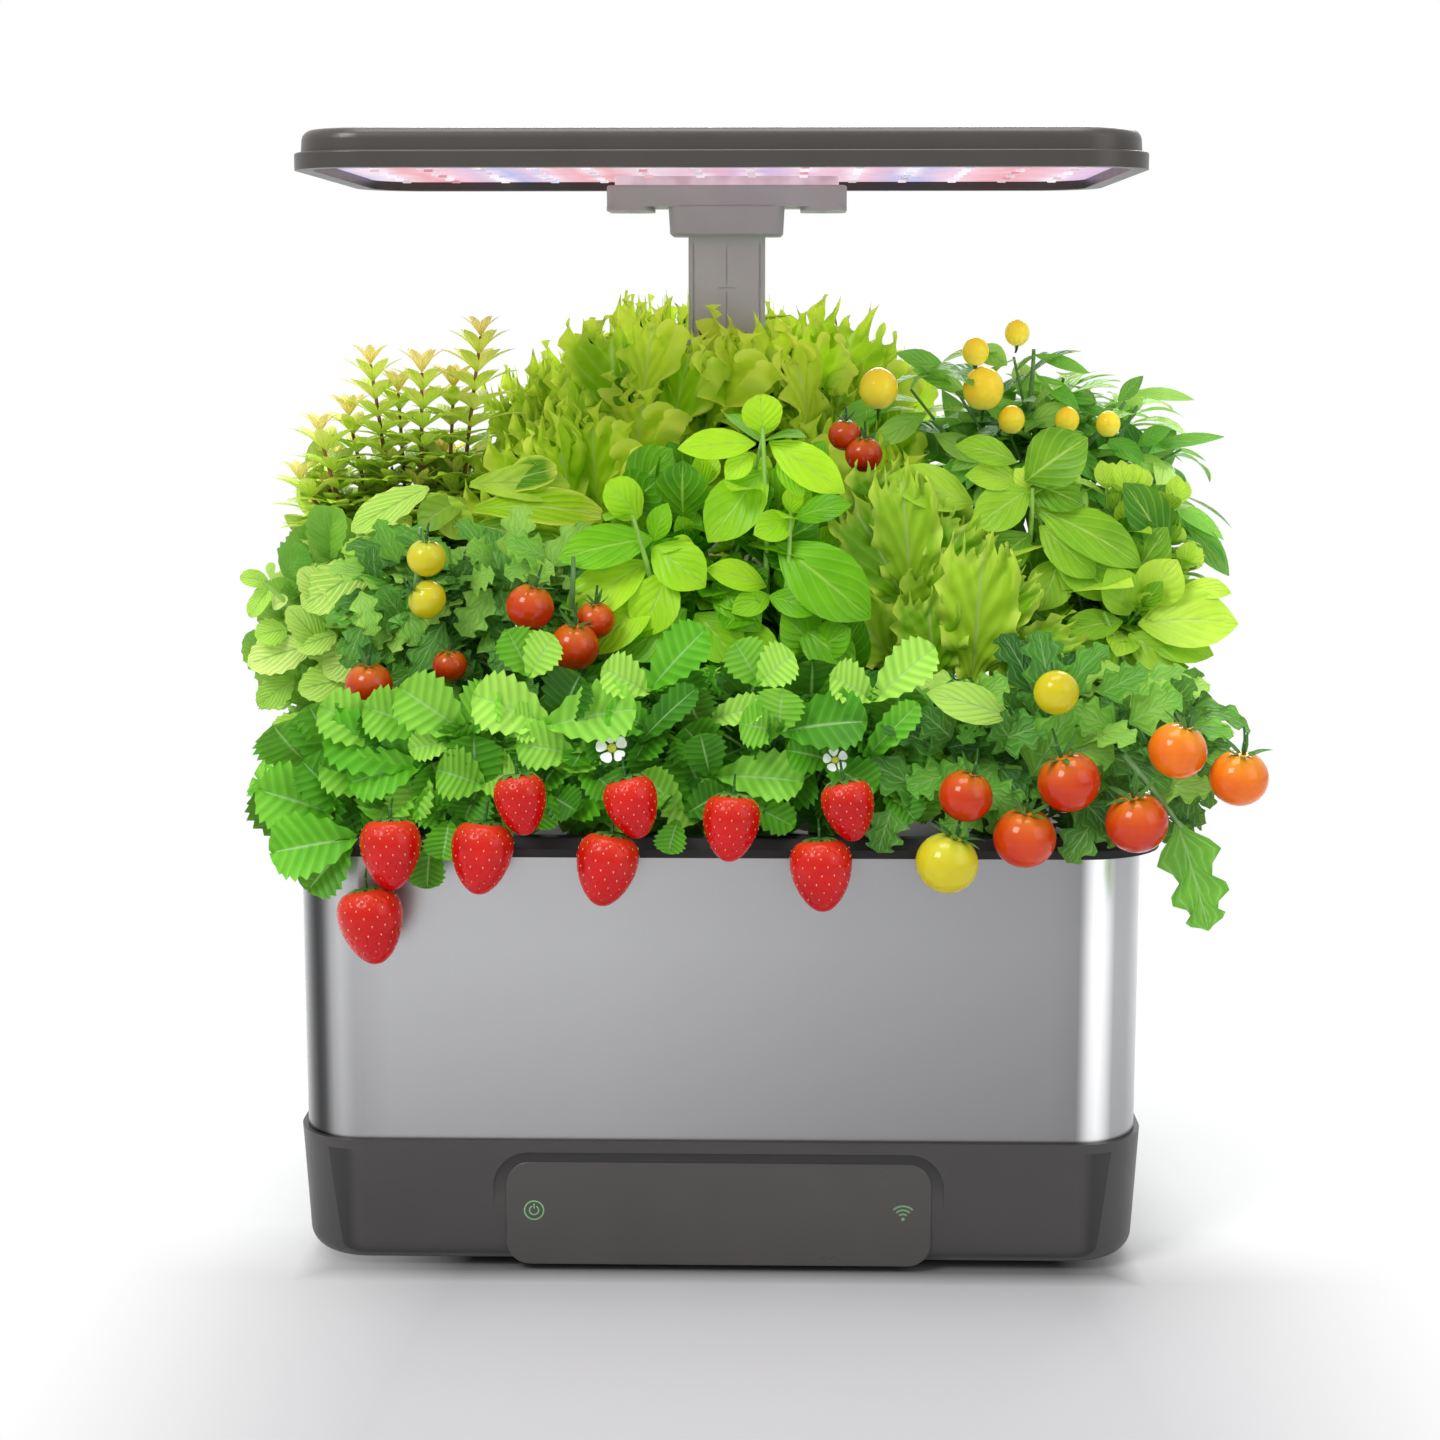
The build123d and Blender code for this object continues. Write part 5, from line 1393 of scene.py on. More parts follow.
# ---------------------------------------------------------------- fruit
class FruitMaker:
    """Models one fruit of each kind and copies it to its places."""

    def __init__(self, kinds: dict[Kind, Blade]) -> None:
        """Keep the blades for the little leaves on the fruit."""
        self.kinds = kinds

    def globe(self, name: str, squash: float, dimple: float) -> bpy.types.Object:
        """Model a round fruit of unit radius with a dimple at its stalk.

        Args:
            name: its name.
            squash: height over width.
            dimple: depth of the hollow round the stalk.

        Returns:
            The fruit at the origin.
        """
        Bench.clear()
        bpy.ops.mesh.primitive_uv_sphere_add(segments=32, ring_count=18, radius=1.0)
        fruit = Bench.named(name)
        bpy.ops.object.mode_set(mode="EDIT")
        Bench.select(lambda co: True)
        bpy.ops.transform.resize(value=(1.0, 1.0, squash))
        for cut, share in ((0.97, 0.35), (0.995, 0.65)):
            Bench.select(lambda co, cut=cut: co.z > cut * squash - 0.012)
            bpy.ops.transform.translate(value=(0.0, 0.0, -dimple * share))
        Bench.select(lambda co: co.z < -0.97 * squash)
        bpy.ops.transform.translate(value=(0.0, 0.0, -0.02))
        bpy.ops.object.mode_set(mode="OBJECT")
        self._shoulder_tone(fruit)
        return fruit

    def berry(self, name: str) -> bpy.types.Object:
        """Model one strawberry, 28 mm wide, with a seed hollow in every other face of its skin.

        Args:
            name: its name.

        Returns:
            The berry with its middle at the origin, in millimetres.
        """
        around, rings = 36, 26
        Bench.clear()
        bpy.ops.mesh.primitive_uv_sphere_add(segments=around, ring_count=rings, radius=1.0)
        berry = Bench.named(name)
        # From the tip up: height on the unit sphere, radius and level on the berry
        heights, radii, levels = zip(
            (-1.0, 0.0, -16.0), (-0.95, 2.4, -15.7), (-0.8, 5.0, -14.2), (-0.6, 7.8, -11.4),
            (-0.35, 10.4, -7.4), (0.0, 12.8, -1.6), (0.35, 14.0, 5.0), (0.6, 13.4, 10.4),
            (0.8, 10.6, 14.6), (0.95, 5.5, 16.0), (1.0, 0.0, 15.2),
        )
        bpy.ops.object.mode_set(mode="EDIT")
        for ring in range(rings + 1):
            level = math.cos(math.pi * ring / rings)
            radius = math.sin(math.pi * ring / rings)
            if not Bench.select(lambda co, level=level: abs(co.z - level) < 1e-4 and co.length < 1.001):
                continue
            grow = float(np.interp(level, heights, radii)) / max(radius, 1e-6)
            grow = grow if radius > 1e-3 else 1.0
            bpy.ops.transform.resize(value=(grow, grow, 1.0), center_override=(0.0, 0.0, level))
            lift = float(np.interp(level, heights, levels)) - level
            bpy.ops.transform.translate(value=(0.0, 0.0, lift))
        mesh = bmesh.from_edit_mesh(berry.data)
        bpy.ops.mesh.select_mode(type="FACE")
        for face in mesh.faces:
            middle = face.calc_center_median()
            ring = round(np.interp(-middle.z, [-15.2, 16.0], [0, rings - 1]))
            turn = round((math.atan2(middle.y, middle.x) % math.tau) / math.tau * around - 0.5)
            wanted = ring % 2 == 0 and (turn + (ring // 2 % 2)) % 2 == 0 and abs(middle.z) < 13.5
            face.select_set(wanted)
        bmesh.update_edit_mesh(berry.data)
        bpy.ops.mesh.inset(thickness=0.32, use_individual=True)
        bpy.ops.transform.shrink_fatten(value=-0.42)
        bpy.ops.object.mode_set(mode="OBJECT")
        smooth = berry.modifiers.new("skin", "SUBSURF")
        smooth.levels = smooth.render_levels = 1
        Bench.apply(berry)
        self._shoulder_tone(berry)
        return berry

    @staticmethod
    def _shoulder_tone(fruit: bpy.types.Object) -> None:
        """Store how near each point is to the stalk in the attribute tone."""
        heights = Bench.points(fruit.data)[:, 2]
        Bench.tone(fruit.data, (heights - heights.min()) / (heights.max() - heights.min()))

    def hang(
        self, pattern: bpy.types.Object, name: str, place: Point, size: float, tilt: Point, turn: float
    ) -> tuple[bpy.types.Object, Matrix]:
        """Copy a fruit to its place.

        Args:
            pattern: the modelled fruit.
            name: name of the copy.
            place: its middle, in millimetres.
            size: what to multiply the pattern by, to get millimetres.
            tilt: direction of its stalk end.
            turn: turn about its own axis.

        Returns:
            The copy and the matrix that placed it, in metres.
        """
        made = Bench.add(name, pattern.data.copy())
        aim = Vector(tilt).normalized().to_track_quat("Z", "Y").to_matrix().to_4x4()
        where = Matrix.Translation(Vector(place) * MM) @ aim @ Matrix.Rotation(turn, 4, "Z")
        where = where @ Matrix.Scale(size * MM, 4)
        made.data.transform(where)
        Bench.pick(made)
        bpy.ops.object.shade_smooth()
        return made, where


@dataclass
class Strawberries:
    """The strawberries with their green caps and stalks."""

    places: list[tuple[float, float, float, float, float]]
    skin: bpy.types.Material
    cap: bpy.types.Material
    seed_finish: bpy.types.Material
    row: float = -143.5
    seed: int = 404

    def build(self, maker: FruitMaker) -> None:
        """Model the berries, caps and seeds."""
        pattern = maker.berry("berry_pattern")
        made = []
        sprouter = Sprouter(maker.kinds, self.seed)
        seeds: list[bpy.types.Object] = []
        seed_pattern = self._seed()
        for number, (x, z, lean, turn, size) in enumerate(self.places):
            berry, where = maker.hang(
                pattern, f"strawberry_{number + 1}", (x, self.row, z), size, (-lean, 0.12, 1.0), turn
            )
            Bench.paint(berry, self.skin)
            made.append(berry)
            top = where @ Vector((0.0, 0.0, 15.6)) / MM
            axis = (where.to_3x3() @ UP).normalized()
            for sepal in range(9):
                flat = spoke(axis, sepal * math.tau / 9 + turn)
                sprouter.leaf(Kind.SEPAL, top + axis * 0.8, flat + axis * 0.15, axis, 10.5, 4.6, 0.9,
                              0.3 + 0.5 * sprouter.dice.random())
            sprouter.stem([top - axis, top + axis * 5, top + axis * 7 + Vector((0, 9, 1))], 0.9)
            seeds.extend(self._scatter(seed_pattern, where))
        bpy.data.objects.remove(pattern)
        bpy.data.objects.remove(seed_pattern)
        caps = sprouter.leaves_piece("strawberry_caps", self.cap)
        stalks = sprouter.stems_piece("strawberry_stalks", self.cap)
        pips = Bench.join(seeds, "strawberry_seeds")
        Bench.paint(pips, self.seed_finish)
        for piece in (*made, caps, stalks, pips):
            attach(piece, "deck")
        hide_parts("strawberries")
        LOG.info("strawberries: %d berries, %d seed faces", len(made), len(pips.data.polygons))

    @staticmethod
    def _seed() -> bpy.types.Object:
        """Model one seed as a small pointed drop."""
        Bench.clear()
        bpy.ops.mesh.primitive_cone_add(vertices=5, radius1=0.36, depth=0.95)
        seed = Bench.named("seed_pattern")
        bpy.ops.object.mode_set(mode="EDIT")
        bpy.ops.mesh.select_all(action="SELECT")
        bpy.ops.transform.resize(value=(1.0, 0.6, 1.0))
        bpy.ops.object.mode_set(mode="OBJECT")
        return seed

    @staticmethod
    def _scatter(seed: bpy.types.Object, where: Matrix) -> list[bpy.types.Object]:
        """Put seeds in a berry's hollows, row by row."""
        made = []
        levels = [11.6, 8.2, 4.6, 0.8, -3.0, -6.6, -9.8, -12.4]
        radii = [12.9, 13.75, 13.95, 13.5, 12.4, 10.8, 8.9, 6.7]
        for row, (level, radius) in enumerate(zip(levels, radii)):
            count = max(6, round(radius * 1.1))
            for place in range(count):
                angle = math.tau * (place + 0.5 * (row % 2)) / count
                out = Vector((math.cos(angle), math.sin(angle), 0.0))
                copy = Bench.add("seed", seed.data.copy())
                aim = (-UP * 0.97 + out * 0.15).to_track_quat("Z", "Y").to_matrix().to_4x4()
                spot = Matrix.Translation(out * (radius - 0.15) + UP * level) @ aim
                copy.data.transform(where @ spot)
                made.append(copy)
        return made


@dataclass
class RoundFruit:
    """A set of round fruit with their star-shaped green caps."""

    node: str
    slot: str
    label: str
    places: list[tuple[float, float, float, float, Point]]
    skin: bpy.types.Material
    cap: bpy.types.Material
    squash: float = 0.94
    caps: bool = True
    seed: int = 7

    def build(self, maker: FruitMaker) -> None:
        """Model the fruit, and a cap and stalk for each."""
        pattern = maker.globe(f"{self.label}_pattern", self.squash, 0.16)
        sprouter = Sprouter(maker.kinds, self.seed)
        made = []
        for number, (x, y, z, radius, tilt) in enumerate(self.places):
            turn = sprouter.dice.uniform(0.0, math.tau)
            fruit, where = maker.hang(pattern, f"{self.label}_{number + 1}", (x, y, z), radius, tilt, turn)
            Bench.paint(fruit, self.skin)
            made.append(fruit)
            axis = (where.to_3x3() @ UP).normalized()
            top = Vector((x, y, z)) + axis * radius * self.squash * 0.86
            sepals = 6 if self.caps else 5
            for sepal in range(sepals):
                flat = spoke(axis, sepal * math.tau / sepals + turn)
                length = radius * (1.05 if self.caps else 0.5) * sprouter.dice.uniform(0.8, 1.1)
                sprouter.leaf(Kind.SEPAL, top, flat + axis * 0.35, axis, length, length * 0.22,
                              sprouter.dice.uniform(-0.9, 0.6), 0.3)
            bow = Vector((0.0, 9.0, radius * 0.15))
            sprouter.stem([top - axis, top + axis * radius * 0.5, top + axis * radius * 0.8 + bow], 0.9)
        bpy.data.objects.remove(pattern)
        caps = sprouter.leaves_piece(f"{self.label}_caps", self.cap)
        stalks = sprouter.stems_piece(f"{self.label}_stalks", self.cap)
        for piece in (*made, caps, stalks):
            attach(piece, "deck")
        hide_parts(self.node)
        LOG.info("%s: %d fruit", self.label, len(made))


@dataclass
class Blossom:
    """White strawberry flowers with a green middle."""

    places: list[tuple[Point, Point, float]]
    petal: bpy.types.Material
    heart: bpy.types.Material
    stalk: bpy.types.Material
    seed: int = 11

    def build(self, kinds: dict[Kind, Blade]) -> None:
        """Model the petals, the middles and their stalks."""
        petals = Sprouter(kinds, self.seed)
        hearts = []
        for place, aim, size in self.places:
            middle, axis = Vector(place), Vector(aim).normalized()
            for petal in range(5):
                flat = spoke(axis, petal * math.tau / 5 + 0.3)
                petals.leaf(Kind.PETAL, middle + flat * size * 0.16, flat + axis * 0.12, axis, size * 0.36,
                            size * 0.40, -0.3, 0.7)
            petals.stem([middle - axis * 14 - UP * 8, middle - axis * 7, middle - axis * 0.5], 0.7)
            Bench.clear()
            bpy.ops.mesh.primitive_ico_sphere_add(
                subdivisions=2, radius=size * 0.15 * MM, location=middle * MM
            )
            heart = Bench.named("heart")
            bpy.ops.object.transform_apply(location=True)
            bpy.ops.object.mode_set(mode="EDIT")
            bpy.ops.mesh.select_all(action="SELECT")
            bpy.ops.transform.resize(value=(1.0, 0.6, 1.0), center_override=tuple(middle * MM))
            bpy.ops.object.mode_set(mode="OBJECT")
            hearts.append(heart)
        made = petals.leaves_piece("blossom_petals", self.petal)
        stalks = petals.stems_piece("blossom_stalks", self.stalk)
        middle = Bench.join(hearts, "blossom_hearts")
        Bench.paint(middle, self.heart)
        for piece in (made, stalks, middle):
            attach(piece, "deck")
        LOG.info("blossom: %d flowers", len(self.places))


# ---------------------------------------------------------------- the housing and lamp
class Housing:
    """Better finishes for the pieces that keep their CAD shape."""

    def finishes(self) -> dict[str, bpy.types.Material]:
        """Make each finish once.

        Returns:
            The materials by CAD node.
        """
        base = BasePlastic("base_plastic", (0.036, 0.033, 0.032)).make()
        panel = MouldedPlastic("panel_plastic", (0.045, 0.041, 0.037), roughness=0.30, grain=4000.0).make()
        deck = MouldedPlastic("deck_plastic", (0.016, 0.015, 0.015), roughness=0.52, shine=0.2).make()
        hood = HoodPlastic("hood_plastic", (0.044, 0.038, 0.034), roughness=0.34).make()
        mast = MouldedPlastic("mast_plastic", (0.405, 0.405, 0.395), roughness=0.50).make()
        head = MouldedPlastic("bracket_plastic", (0.325, 0.322, 0.312), roughness=0.50).make()
        tank = MouldedPlastic("tank_plastic", (0.016, 0.016, 0.017)).make()
        basket = MouldedPlastic("basket_plastic", (0.030, 0.030, 0.030)).make()
        steel = BrushedSteel("steel").make()
        screw = PlainTone("screw_steel", (0.30, 0.30, 0.31), (0.36, 0.36, 0.37), 600.0, 0.3, 1.0).make()
        rubber = PlainTone("rubber", (0.012, 0.012, 0.012), (0.02, 0.02, 0.02), 900.0, 0.8).make()
        board = PlainTone("board", (0.006, 0.06, 0.02), (0.01, 0.09, 0.03), 300.0, 0.4).make()
        black = PlainTone("black_plastic", (0.012, 0.012, 0.013), (0.02, 0.02, 0.021), 500.0, 0.45).make()
        pale = PlainTone("pale_plastic", (0.60, 0.60, 0.58), (0.68, 0.68, 0.66), 500.0, 0.4).make()
        foam = PlainTone("foam", (0.020, 0.014, 0.010), (0.06, 0.042, 0.03), 1400.0, 0.9, 0.0, 0.0008).make()
        orange = PlainTone("float_foam", (0.55, 0.17, 0.02), (0.62, 0.22, 0.03), 900.0, 0.7).make()
        icon = LitChip("icon_light", (0.07, 0.42, 0.05), 0.62).make()
        return {
            "base_shell": base, "base_plate": base, "control_panel": panel, "grow_deck": deck,
            "fill_lid": deck, "hood_frame": hood, "hood_cover": hood, "mast_sheath": mast,
            "lamp_mast": mast, "lamp_collar": head, "lamp_bracket": head, "water_tank": tank,
            "pod_baskets": basket, "level_sensor_stem": basket, "steel_sleeve": steel,
            "base_screws": screw, "mast_screws": screw, "hood_screws": screw, "fill_lid_pin": screw,
            "pump_shaft": screw, "rubber_feet": rubber, "pump_suction_feet": rubber,
            "touch_board": board, "lamp_driver_board": board, "power_inlet": black,
            "pump_housing": black, "pump_cover": black, "pump_impeller": black,
            "pump_outlet_hose": pale, "mast_glides": pale, "grow_sponges": foam, "level_float": orange,
            "power_icon": icon, "wireless_icon": icon, "led_board": LitPanel("led_board").make(),
            "white_leds": LitChip("led_white", (1.0, 0.78, 0.88), 1.0).make(),
            "red_leds": LitChip("led_red", (1.0, 0.36, 0.44), 0.85).make(),
            "blue_leds": LitChip("led_blue", (0.60, 0.68, 1.0), 0.95).make(),
        }

    def dress(self, nodes: dict[str, bpy.types.Object]) -> None:
        """Put the finishes on the CAD nodes.

        Args:
            nodes: the CAD nodes by name.
        """
        for name, material in self.finishes().items():
            target = nodes[name]
            if not target.material_slots:
                target.data.materials.append(material)
            for slot in target.material_slots:
                slot.material = material
            LOG.info("%s: finish %s", name, material.name)


# ---------------------------------------------------------------- studio
@dataclass(frozen=True)
class Studio:
    """Camera, floor and lights, in metres.

    The floor has a painted shadow: dark under the body's foot and grey in front of it; it fades to white away
    from it.
    """

    # Size of the painted shadow under the body's foot
    foot_half: float = 0.178
    foot_depth: float = 0.120
    foot_edge: float = 60.0
    shadow_middle: float = 0.018
    shadow_half: float = 0.170
    shadow_edge: float = 8.0
    fade_start: float = 0.30
    fade_edge: float = 3.0
    pale: Colour = (0.80, 0.80, 0.81)
    shadow_grey: Colour = (0.455, 0.450, 0.460)
    # Colour of the painted shadow under the body's foot
    dark: Colour = (0.16, 0.16, 0.16)

    def camera(self) -> None:
        """Set the camera at eye level in front of the body."""
        data = bpy.data.cameras.new("camera")
        data.sensor_width = 36.0
        data.lens = 66.25
        data.clip_start, data.clip_end = 0.01, 50.0
        made = Bench.add("camera", data)
        made.location = (0.027, -1.286, 0.437)
        made.rotation_euler = (math.pi / 2 - 0.1535, 0.0, 0.0225)
        bpy.context.scene.camera = made
        bpy.context.scene.view_settings.view_transform = "Standard"

    def floor(self) -> None:
        """Lay a pale floor with a painted shadow round the object, that fades to plain white away from it."""
        Bench.clear()
        bpy.ops.mesh.primitive_plane_add(size=40.0)
        floor = Bench.named("floor")
        recipe = Recipe("floor")
        away = recipe.node("ShaderNodeVectorMath", operation="LENGTH")
        recipe.put(away.inputs[0], recipe.place(scale=(1.9, 0.62, 1.0), centre=(-0.04, 0.22, 0.0)))
        fade = self.beyond(recipe, away.outputs["Value"], self.fade_start, self.fade_edge)
        # Painted shadow: in front of the body the floor is greyer, and darkest under its edge
        across, depth, _ = recipe.axes()
        aside = recipe.math("ABSOLUTE", recipe.math("SUBTRACT", across, self.shadow_middle))
        fade = recipe.math("MAXIMUM", fade, self.beyond(recipe, aside, self.shadow_half, self.shadow_edge))
        ahead = recipe.math("MULTIPLY_ADD", depth, -14.0, -0.84, clamp=True)
        tone = recipe.mix(ahead, self.pale, self.shadow_grey)
        past = self.beyond(recipe, recipe.math("ABSOLUTE", depth), self.foot_depth, self.foot_edge)
        beside = self.beyond(recipe, recipe.math("ABSOLUTE", across), self.foot_half, self.foot_edge)
        tone = recipe.mix(recipe.math("MAXIMUM", past, beside), self.dark, tone)
        path = recipe.node("ShaderNodeLightPath")
        tone = recipe.mix(path.outputs["Is Camera Ray"], self.pale, tone)
        near = recipe.node("ShaderNodeBsdfDiffuse", Color=tone)
        white = recipe.node("ShaderNodeEmission", Color=(1.0, 1.0, 1.0))
        recipe.blend(recipe.math("MULTIPLY", path.outputs["Is Camera Ray"], fade), near, white)
        floor.data.materials.append(recipe.material)

    @staticmethod
    def beyond(recipe: Recipe, value: object, start: float, edge: float) -> object:
        """A share that rises from 0 at a start by edge for each metre, up to 1."""
        return recipe.math("MULTIPLY", recipe.math("SUBTRACT", value, start), edge, clamp=True)

    def world(self) -> None:
        """Make a plain white surround, dimmer in the light that it gives."""
        world = bpy.data.worlds.new("surround")
        bpy.context.scene.world = world
        recipe = Recipe("surround", world)
        path = recipe.node("ShaderNodeLightPath")
        seen = recipe.math("SUBTRACT", 1.0, path.outputs["Is Diffuse Ray"])
        dim = recipe.node("ShaderNodeBackground", Color=(0.97, 0.985, 1.0), Strength=0.60)
        bright = recipe.node("ShaderNodeBackground", Color=(1.0, 1.0, 1.0))
        recipe.blend(seen, dim, bright)

    def lamp(self, name: str, place: Point, target: Point, size: tuple[float, float], watts: float) -> None:
        """Hang a soft rectangular lamp.

        Args:
            name: its name.
            place: where it hangs.
            target: where it points.
            size: width and height.
            watts: its power.
        """
        data = bpy.data.lights.new(name, "AREA")
        data.shape = "RECTANGLE"
        data.size, data.size_y = size
        data.energy = watts
        made = Bench.add(name, data)
        made.location = place
        aim = Vector(target) - Vector(place)
        made.rotation_euler = aim.to_track_quat("-Z", "Y").to_euler()

    def build(self) -> None:
        """Set everything up."""
        self.camera()
        self.floor()
        self.world()
        self.lamp("key", (-1.3, -1.5, 2.0), (0.0, 0.0, 0.3), (0.9, 0.9), 38.0)
        self.lamp("fill", (1.6, -1.3, 1.2), (0.0, 0.0, 0.3), (1.2, 1.6), 10.0)
        self.lamp("back", (0.3, 1.8, 1.7), (0.0, 0.0, 0.35), (1.6, 0.9), 34.0)
        self.lamp("top", (0.0, -0.1, 2.4), (0.0, 0.0, 0.2), (1.4, 1.2), 30.0)


def crop(kinds: dict[Kind, Blade]) -> None:
    """Build every plant and fruit.

    Args:
        kinds: the modelled blades.
    """
    basil_skin = LeafSkin("basil_leaf", (0.02, 0.19, 0.002), (0.19, 0.56, 0.006), (0.50, 0.88, 0.02),
                          (0.46, 0.76, 0.12), veins=5, slant=0.9, vein_strength=0.3, roughness=0.34).make()
    mint_skin = LeafSkin("mint_leaf", (0.10, 0.34, 0.02), (0.48, 0.86, 0.09), (0.84, 1.0, 0.30),
                         (0.14, 0.40, 0.07), veins=7, slant=0.9, vein_strength=0.6).make()
    berry_skin = LeafSkin("strawberry_leaf", (0.012, 0.11, 0.004), (0.13, 0.52, 0.014), (0.50, 0.92, 0.12),
                          (0.44, 0.74, 0.28), veins=8, slant=0.0, vein_strength=0.12, pleat_shade=0.26).make()
    tomato_skin = LeafSkin("tomato_leaf", (0.016, 0.11, 0.014), (0.14, 0.45, 0.035), (0.52, 0.84, 0.13),
                           (0.34, 0.58, 0.22), veins=6, slant=0.8, vein_strength=0.45, pleat_shade=0.2).make()
    pepper_skin = LeafSkin("pepper_leaf", (0.02, 0.19, 0.022), (0.20, 0.62, 0.06), (0.64, 0.95, 0.20),
                           (0.32, 0.62, 0.18), veins=6, slant=0.6, vein_strength=0.25,
                           roughness=0.30).make()
    herb_skin = LeafSkin("herb_leaf", (0.20, 0.42, 0.025), (0.62, 0.92, 0.07), (1.0, 0.84, 0.30),
                         (0.46, 0.56, 0.14), veins=5, slant=0.5, vein_strength=0.15).make()
    curly_skin = LeafSkin("curly_leaf", (0.10, 0.32, 0.002), (0.54, 0.92, 0.012), (0.80, 1.0, 0.06),
                          (0.70, 0.90, 0.30), veins=4, slant=1.4, vein_strength=0.25,
                          rim=(0.84, 1.0, 0.12), roughness=0.5, pleat_shade=0.2, glow=0.42).make()
    ruffled_skin = LeafSkin("ruffled_leaf", (0.035, 0.17, 0.002), (0.20, 0.48, 0.005), (0.48, 0.78, 0.03),
                            (0.50, 0.66, 0.18), veins=4, slant=1.4, vein_strength=0.2,
                            rim=(0.72, 0.92, 0.12), roughness=0.5, pleat_shade=0.2).make()
    tall_skin = LeafSkin("tall_basil_leaf", (0.03, 0.19, 0.004), (0.28, 0.58, 0.02), (0.68, 0.94, 0.09),
                         (0.54, 0.76, 0.18), veins=5, slant=0.9, vein_strength=0.3, roughness=0.34).make()
    green = Stalk("green_stem", (0.20, 0.42, 0.05), (0.30, 0.55, 0.09)).make()
    grey_green = Stalk("vine_stem", (0.10, 0.24, 0.07), (0.18, 0.34, 0.12)).make()
    red_stem = Stalk("red_stem", (0.16, 0.035, 0.03), (0.28, 0.12, 0.04)).make()
    pale_stem = Stalk("pale_stem", (0.42, 0.58, 0.16), (0.60, 0.72, 0.34)).make()

    plants: list[Plant] = [
        WhorlPlant("red_stem_herb", "leaf_olive", (-141, 75), (-156, 74, 300),
                   Room((-224, 34, 300), (-116, 148, 376)), herb_skin, red_stem, 21, 30,
                   tips=[(-203, 40, 376), (-178, 48, 410), (-152, 46, 406), (-123, 52, 424), (-166, 60, 396),
                         (-138, 60, 398), (-214, 44, 352), (-190, 52, 384)]),
        LettuceHead("curly_lettuce", "leaf_pale", (-47, 75), (-58, 80, 306),
                    Room((-112, 36, 300), (4, 146, 418)), curly_skin, pale_stem, 22, 0,
                    tips=[(-112, 60, 408), (-86, 60, 424), (-62, 60, 432), (-46, 60, 438), (-32, 60, 446),
                          (-16, 60, 430), (0, 60, 434)]),
        LettuceHead("leaf_lettuce", "leaf_pale", (47, 75), (46, 80, 306),
                    Room((-6, 36, 300), (90, 146, 418)), curly_skin, pale_stem, 23, 0,
                    tips=[(0, 60, 434), (12, 60, 440), (29, 60, 438), (46, 60, 434), (64, 60, 428),
                          (84, 60, 422), (94, 60, 414)]),
        LanceBush("pepper_plant", "leaf_dark", (141, 75), (162, 70, 300),
                  Room((94, 34, 300), (240, 148, 404)), pepper_skin, grey_green, 24, 46,
                  tips=[(143, 46, 414), (168, 46, 404), (205, 48, 390), (228, 50, 368), (222, 46, 334),
                        (110, 42, 404), (92, 44, 398), (128, 46, 400)]),
        SprigPlant("mint", "leaf_mid", (-141, 0), (-174, -8, 240), Room((-224, -38, 236), (-134, 24, 340)),
                   mint_skin, green, 25, 26, blade=Kind.MINT, leaf=32.0, breadth=0.7),
        SprigPlant("basil", "leaf_mid", (-47, 0), (-16, -24, 268), Room((-55, -62, 258), (60, -14, 372)),
                   basil_skin, green, 26, 16, tips=[(19, -56, 380), (-44, -60, 346), (32, -60, 344)],
                   leaf=42.0),
        LettuceHead("ruffled_lettuce", "leaf_pale", (47, 0), (92, -6, 262),
                    Room((62, -34, 260), (136, 22, 350)), ruffled_skin, pale_stem, 27, 0,
                    tips=[(60, 0, 350), (86, 0, 360), (112, 0, 346), (138, 0, 326)], blade=Kind.FRILL,
                    leaf=52.0, breadth=0.8, rows=5, pitch=14.0, drop=30.0),
        SprigPlant("tall_basil", "leaf_mid", (141, 0), (178, -8, 268), Room((138, -34, 262), (236, 24, 366)),
                   tall_skin, green, 28, 20, tips=[(146, -26, 352), (198, -30, 296)], leaf=40.0),
        Rosette("strawberry_plant_left", "leaf_mid", (-141, -75), (-146, -98, 212),
                Room((-198, -120, 200), (-84, -83, 254)), berry_skin, green, 29, 34),
        VinePlant("tomato_plant_left", "leaf_dark", (-47, -75), (-90, -62, 262),
                  Room((-165, -76, 256), (-60, -46, 332)), tomato_skin, grey_green, 30, 40),
        Rosette("strawberry_plant_right", "leaf_mid", (47, -75), (40, -98, 212),
                Room((-80, -120, 200), (94, -83, 276)), berry_skin, green, 31, 46),
        VinePlant("tomato_plant_right", "leaf_dark", (141, -75), (150, -84, 218),
                  Room((96, -120, 200), (232, -48, 274)), tomato_skin, grey_green, 32, 46),
    ]
    for plant in plants:
        plant.build(kinds)

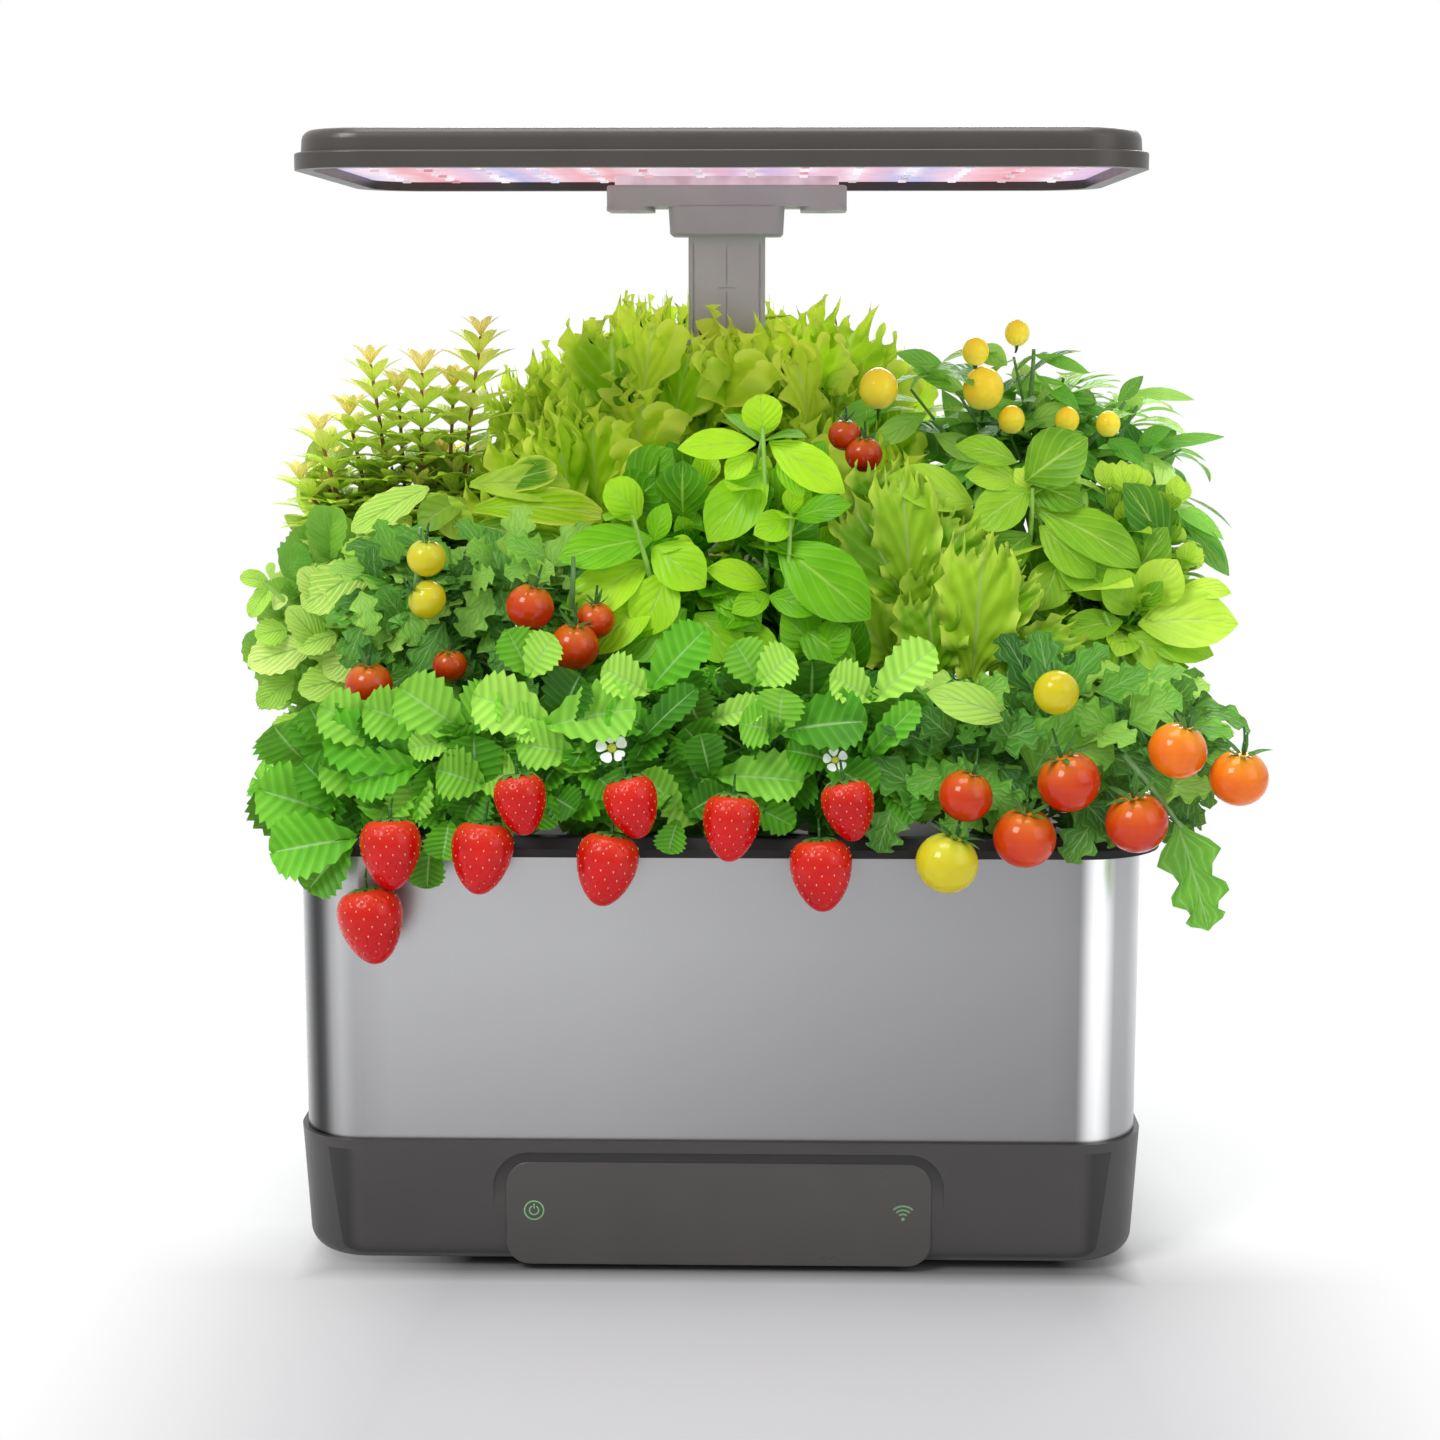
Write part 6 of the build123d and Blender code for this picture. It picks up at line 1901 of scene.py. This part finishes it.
    maker = FruitMaker(kinds)
    berry = FruitSkin("strawberry", (0.40, 0.000, 0.002), (0.52, 0.002, 0.004), (0.58, 0.04, 0.01),
                      roughness=0.26, coat=0.14).make()
    seed = PlainTone("berry_seed", (0.66, 0.34, 0.07), (0.78, 0.48, 0.14), 900.0, 0.5).make()
    cap = LeafSkin("cap_leaf", (0.03, 0.12, 0.02), (0.08, 0.26, 0.04), (0.25, 0.48, 0.10),
                   (0.2, 0.4, 0.1), veins=3, vein_strength=0.1).make()
    Strawberries(
        [(-153, 167, 0.16, 0.2, 1.05), (-144, 199.5, 0.02, 1.0, 0.98), (-104, 198, -0.10, 2.0, 1.0),
         (-86, 222, 0.15, 0.5, 0.84), (-49, 193, -0.16, 3.0, 1.0), (-37, 221, 0.25, 1.4, 0.86),
         (6, 212, -0.08, 2.6, 0.92), (46, 191, 0.06, 0.9, 1.0), (58, 220, 0.2, 1.9, 0.84)],
        berry, cap, seed,
    ).build(maker)
    red = FruitSkin("tomato_red", (0.42, 0.012, 0.001), (0.52, 0.040, 0.003), (0.58, 0.15, 0.01)).make()
    yellow = FruitSkin("tomato_yellow", (0.50, 0.42, 0.006), (0.56, 0.48, 0.012), (0.52, 0.54, 0.04)).make()
    orange = FruitSkin("tomato_orange", (0.62, 0.085, 0.002), (0.72, 0.16, 0.005), (0.78, 0.30, 0.02)).make()
    pepper = FruitSkin("pepper_orange", (1.0, 0.66, 0.014), (1.0, 0.84, 0.04), (1.0, 0.88, 0.18)).make()
    up, back = (0.05, -0.30, 1.0), (0.3, -0.18, 1.0)
    RoundFruit("red_tomatoes", "tomato_red", "red_tomato", [
        (-86, -93, 304, 11, back), (-66, -93, 286, 11.5, up), (-160, -93, 268, 11, up),
        (135, -141, 208, 14, up), (109, -141, 226.5, 12, back), (154, -141, 233, 14, (-0.35, -0.25, 1.0)),
        (184, -141, 215, 14, (-0.2, -0.3, 1.0)), (-57, -84, 297, 9, up), (-124, -84, 276, 8, up),
        (58, -12, 378, 8, up), (67, -16, 369, 9, up)], red, cap, seed=41).build(maker)
    RoundFruit("yellow_tomatoes", "tomato_yellow", "yellow_tomato", [
        (-133, -91, 326, 9, up), (-133, -91, 307, 9, (-0.7, -0.3, 0.5)), (101, -143.5, 197, 14, back),
        (148, -138, 272, 10, (0.0, 0.8, 0.5))], yellow, cap, seed=42).build(maker)
    RoundFruit("orange_tomatoes", "tomato_orange", "orange_tomato", [
        (201, -141, 247, 13, (0.3, -0.25, 1.0)), (228, -141, 235, 13, (0.1, -0.3, 1.0))], orange, cap,
        seed=43).build(maker)
    RoundFruit("small_peppers", "pepper_orange", "small_pepper", [
        (75, 17, 399, 9.5, (0, 0, -1)), (122, 17, 417, 6.5, (0, 0, -1)), (126, 17, 399, 10, (0, 0, -1)),
        (142, 17, 426, 6, (0, 0, -1)), (167, 17, 384, 6, (0, 0, -1)), (140, 17, 384, 6.5, (0, 0, -1)),
        (187, 17, 382, 6, (0, 0, -1))], pepper, cap, squash=1.08, caps=False, seed=44).build(maker)
    petal = PlainTone("petal", (0.78, 0.80, 0.80), (0.84, 0.86, 0.87), 500.0).make()
    heart = PlainTone("flower_heart", (0.42, 0.50, 0.02), (0.62, 0.60, 0.05), 1500.0).make()
    Blossom([((-47, -128, 245), (-0.1, -1.0, 0.35), 14.0), ((52, -128, 240), (0.1, -1.0, 0.4), 11.0)],
            petal, heart, green).build(kinds)


def main() -> None:
    """Build the garden's looks."""
    logging.basicConfig(level=logging.INFO, format="%(message)s")
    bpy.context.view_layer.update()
    Studio().build()
    Housing().dress(frame["nodes"])
    kinds = blades()
    crop(kinds)


if __name__ == "__main__":
    main()
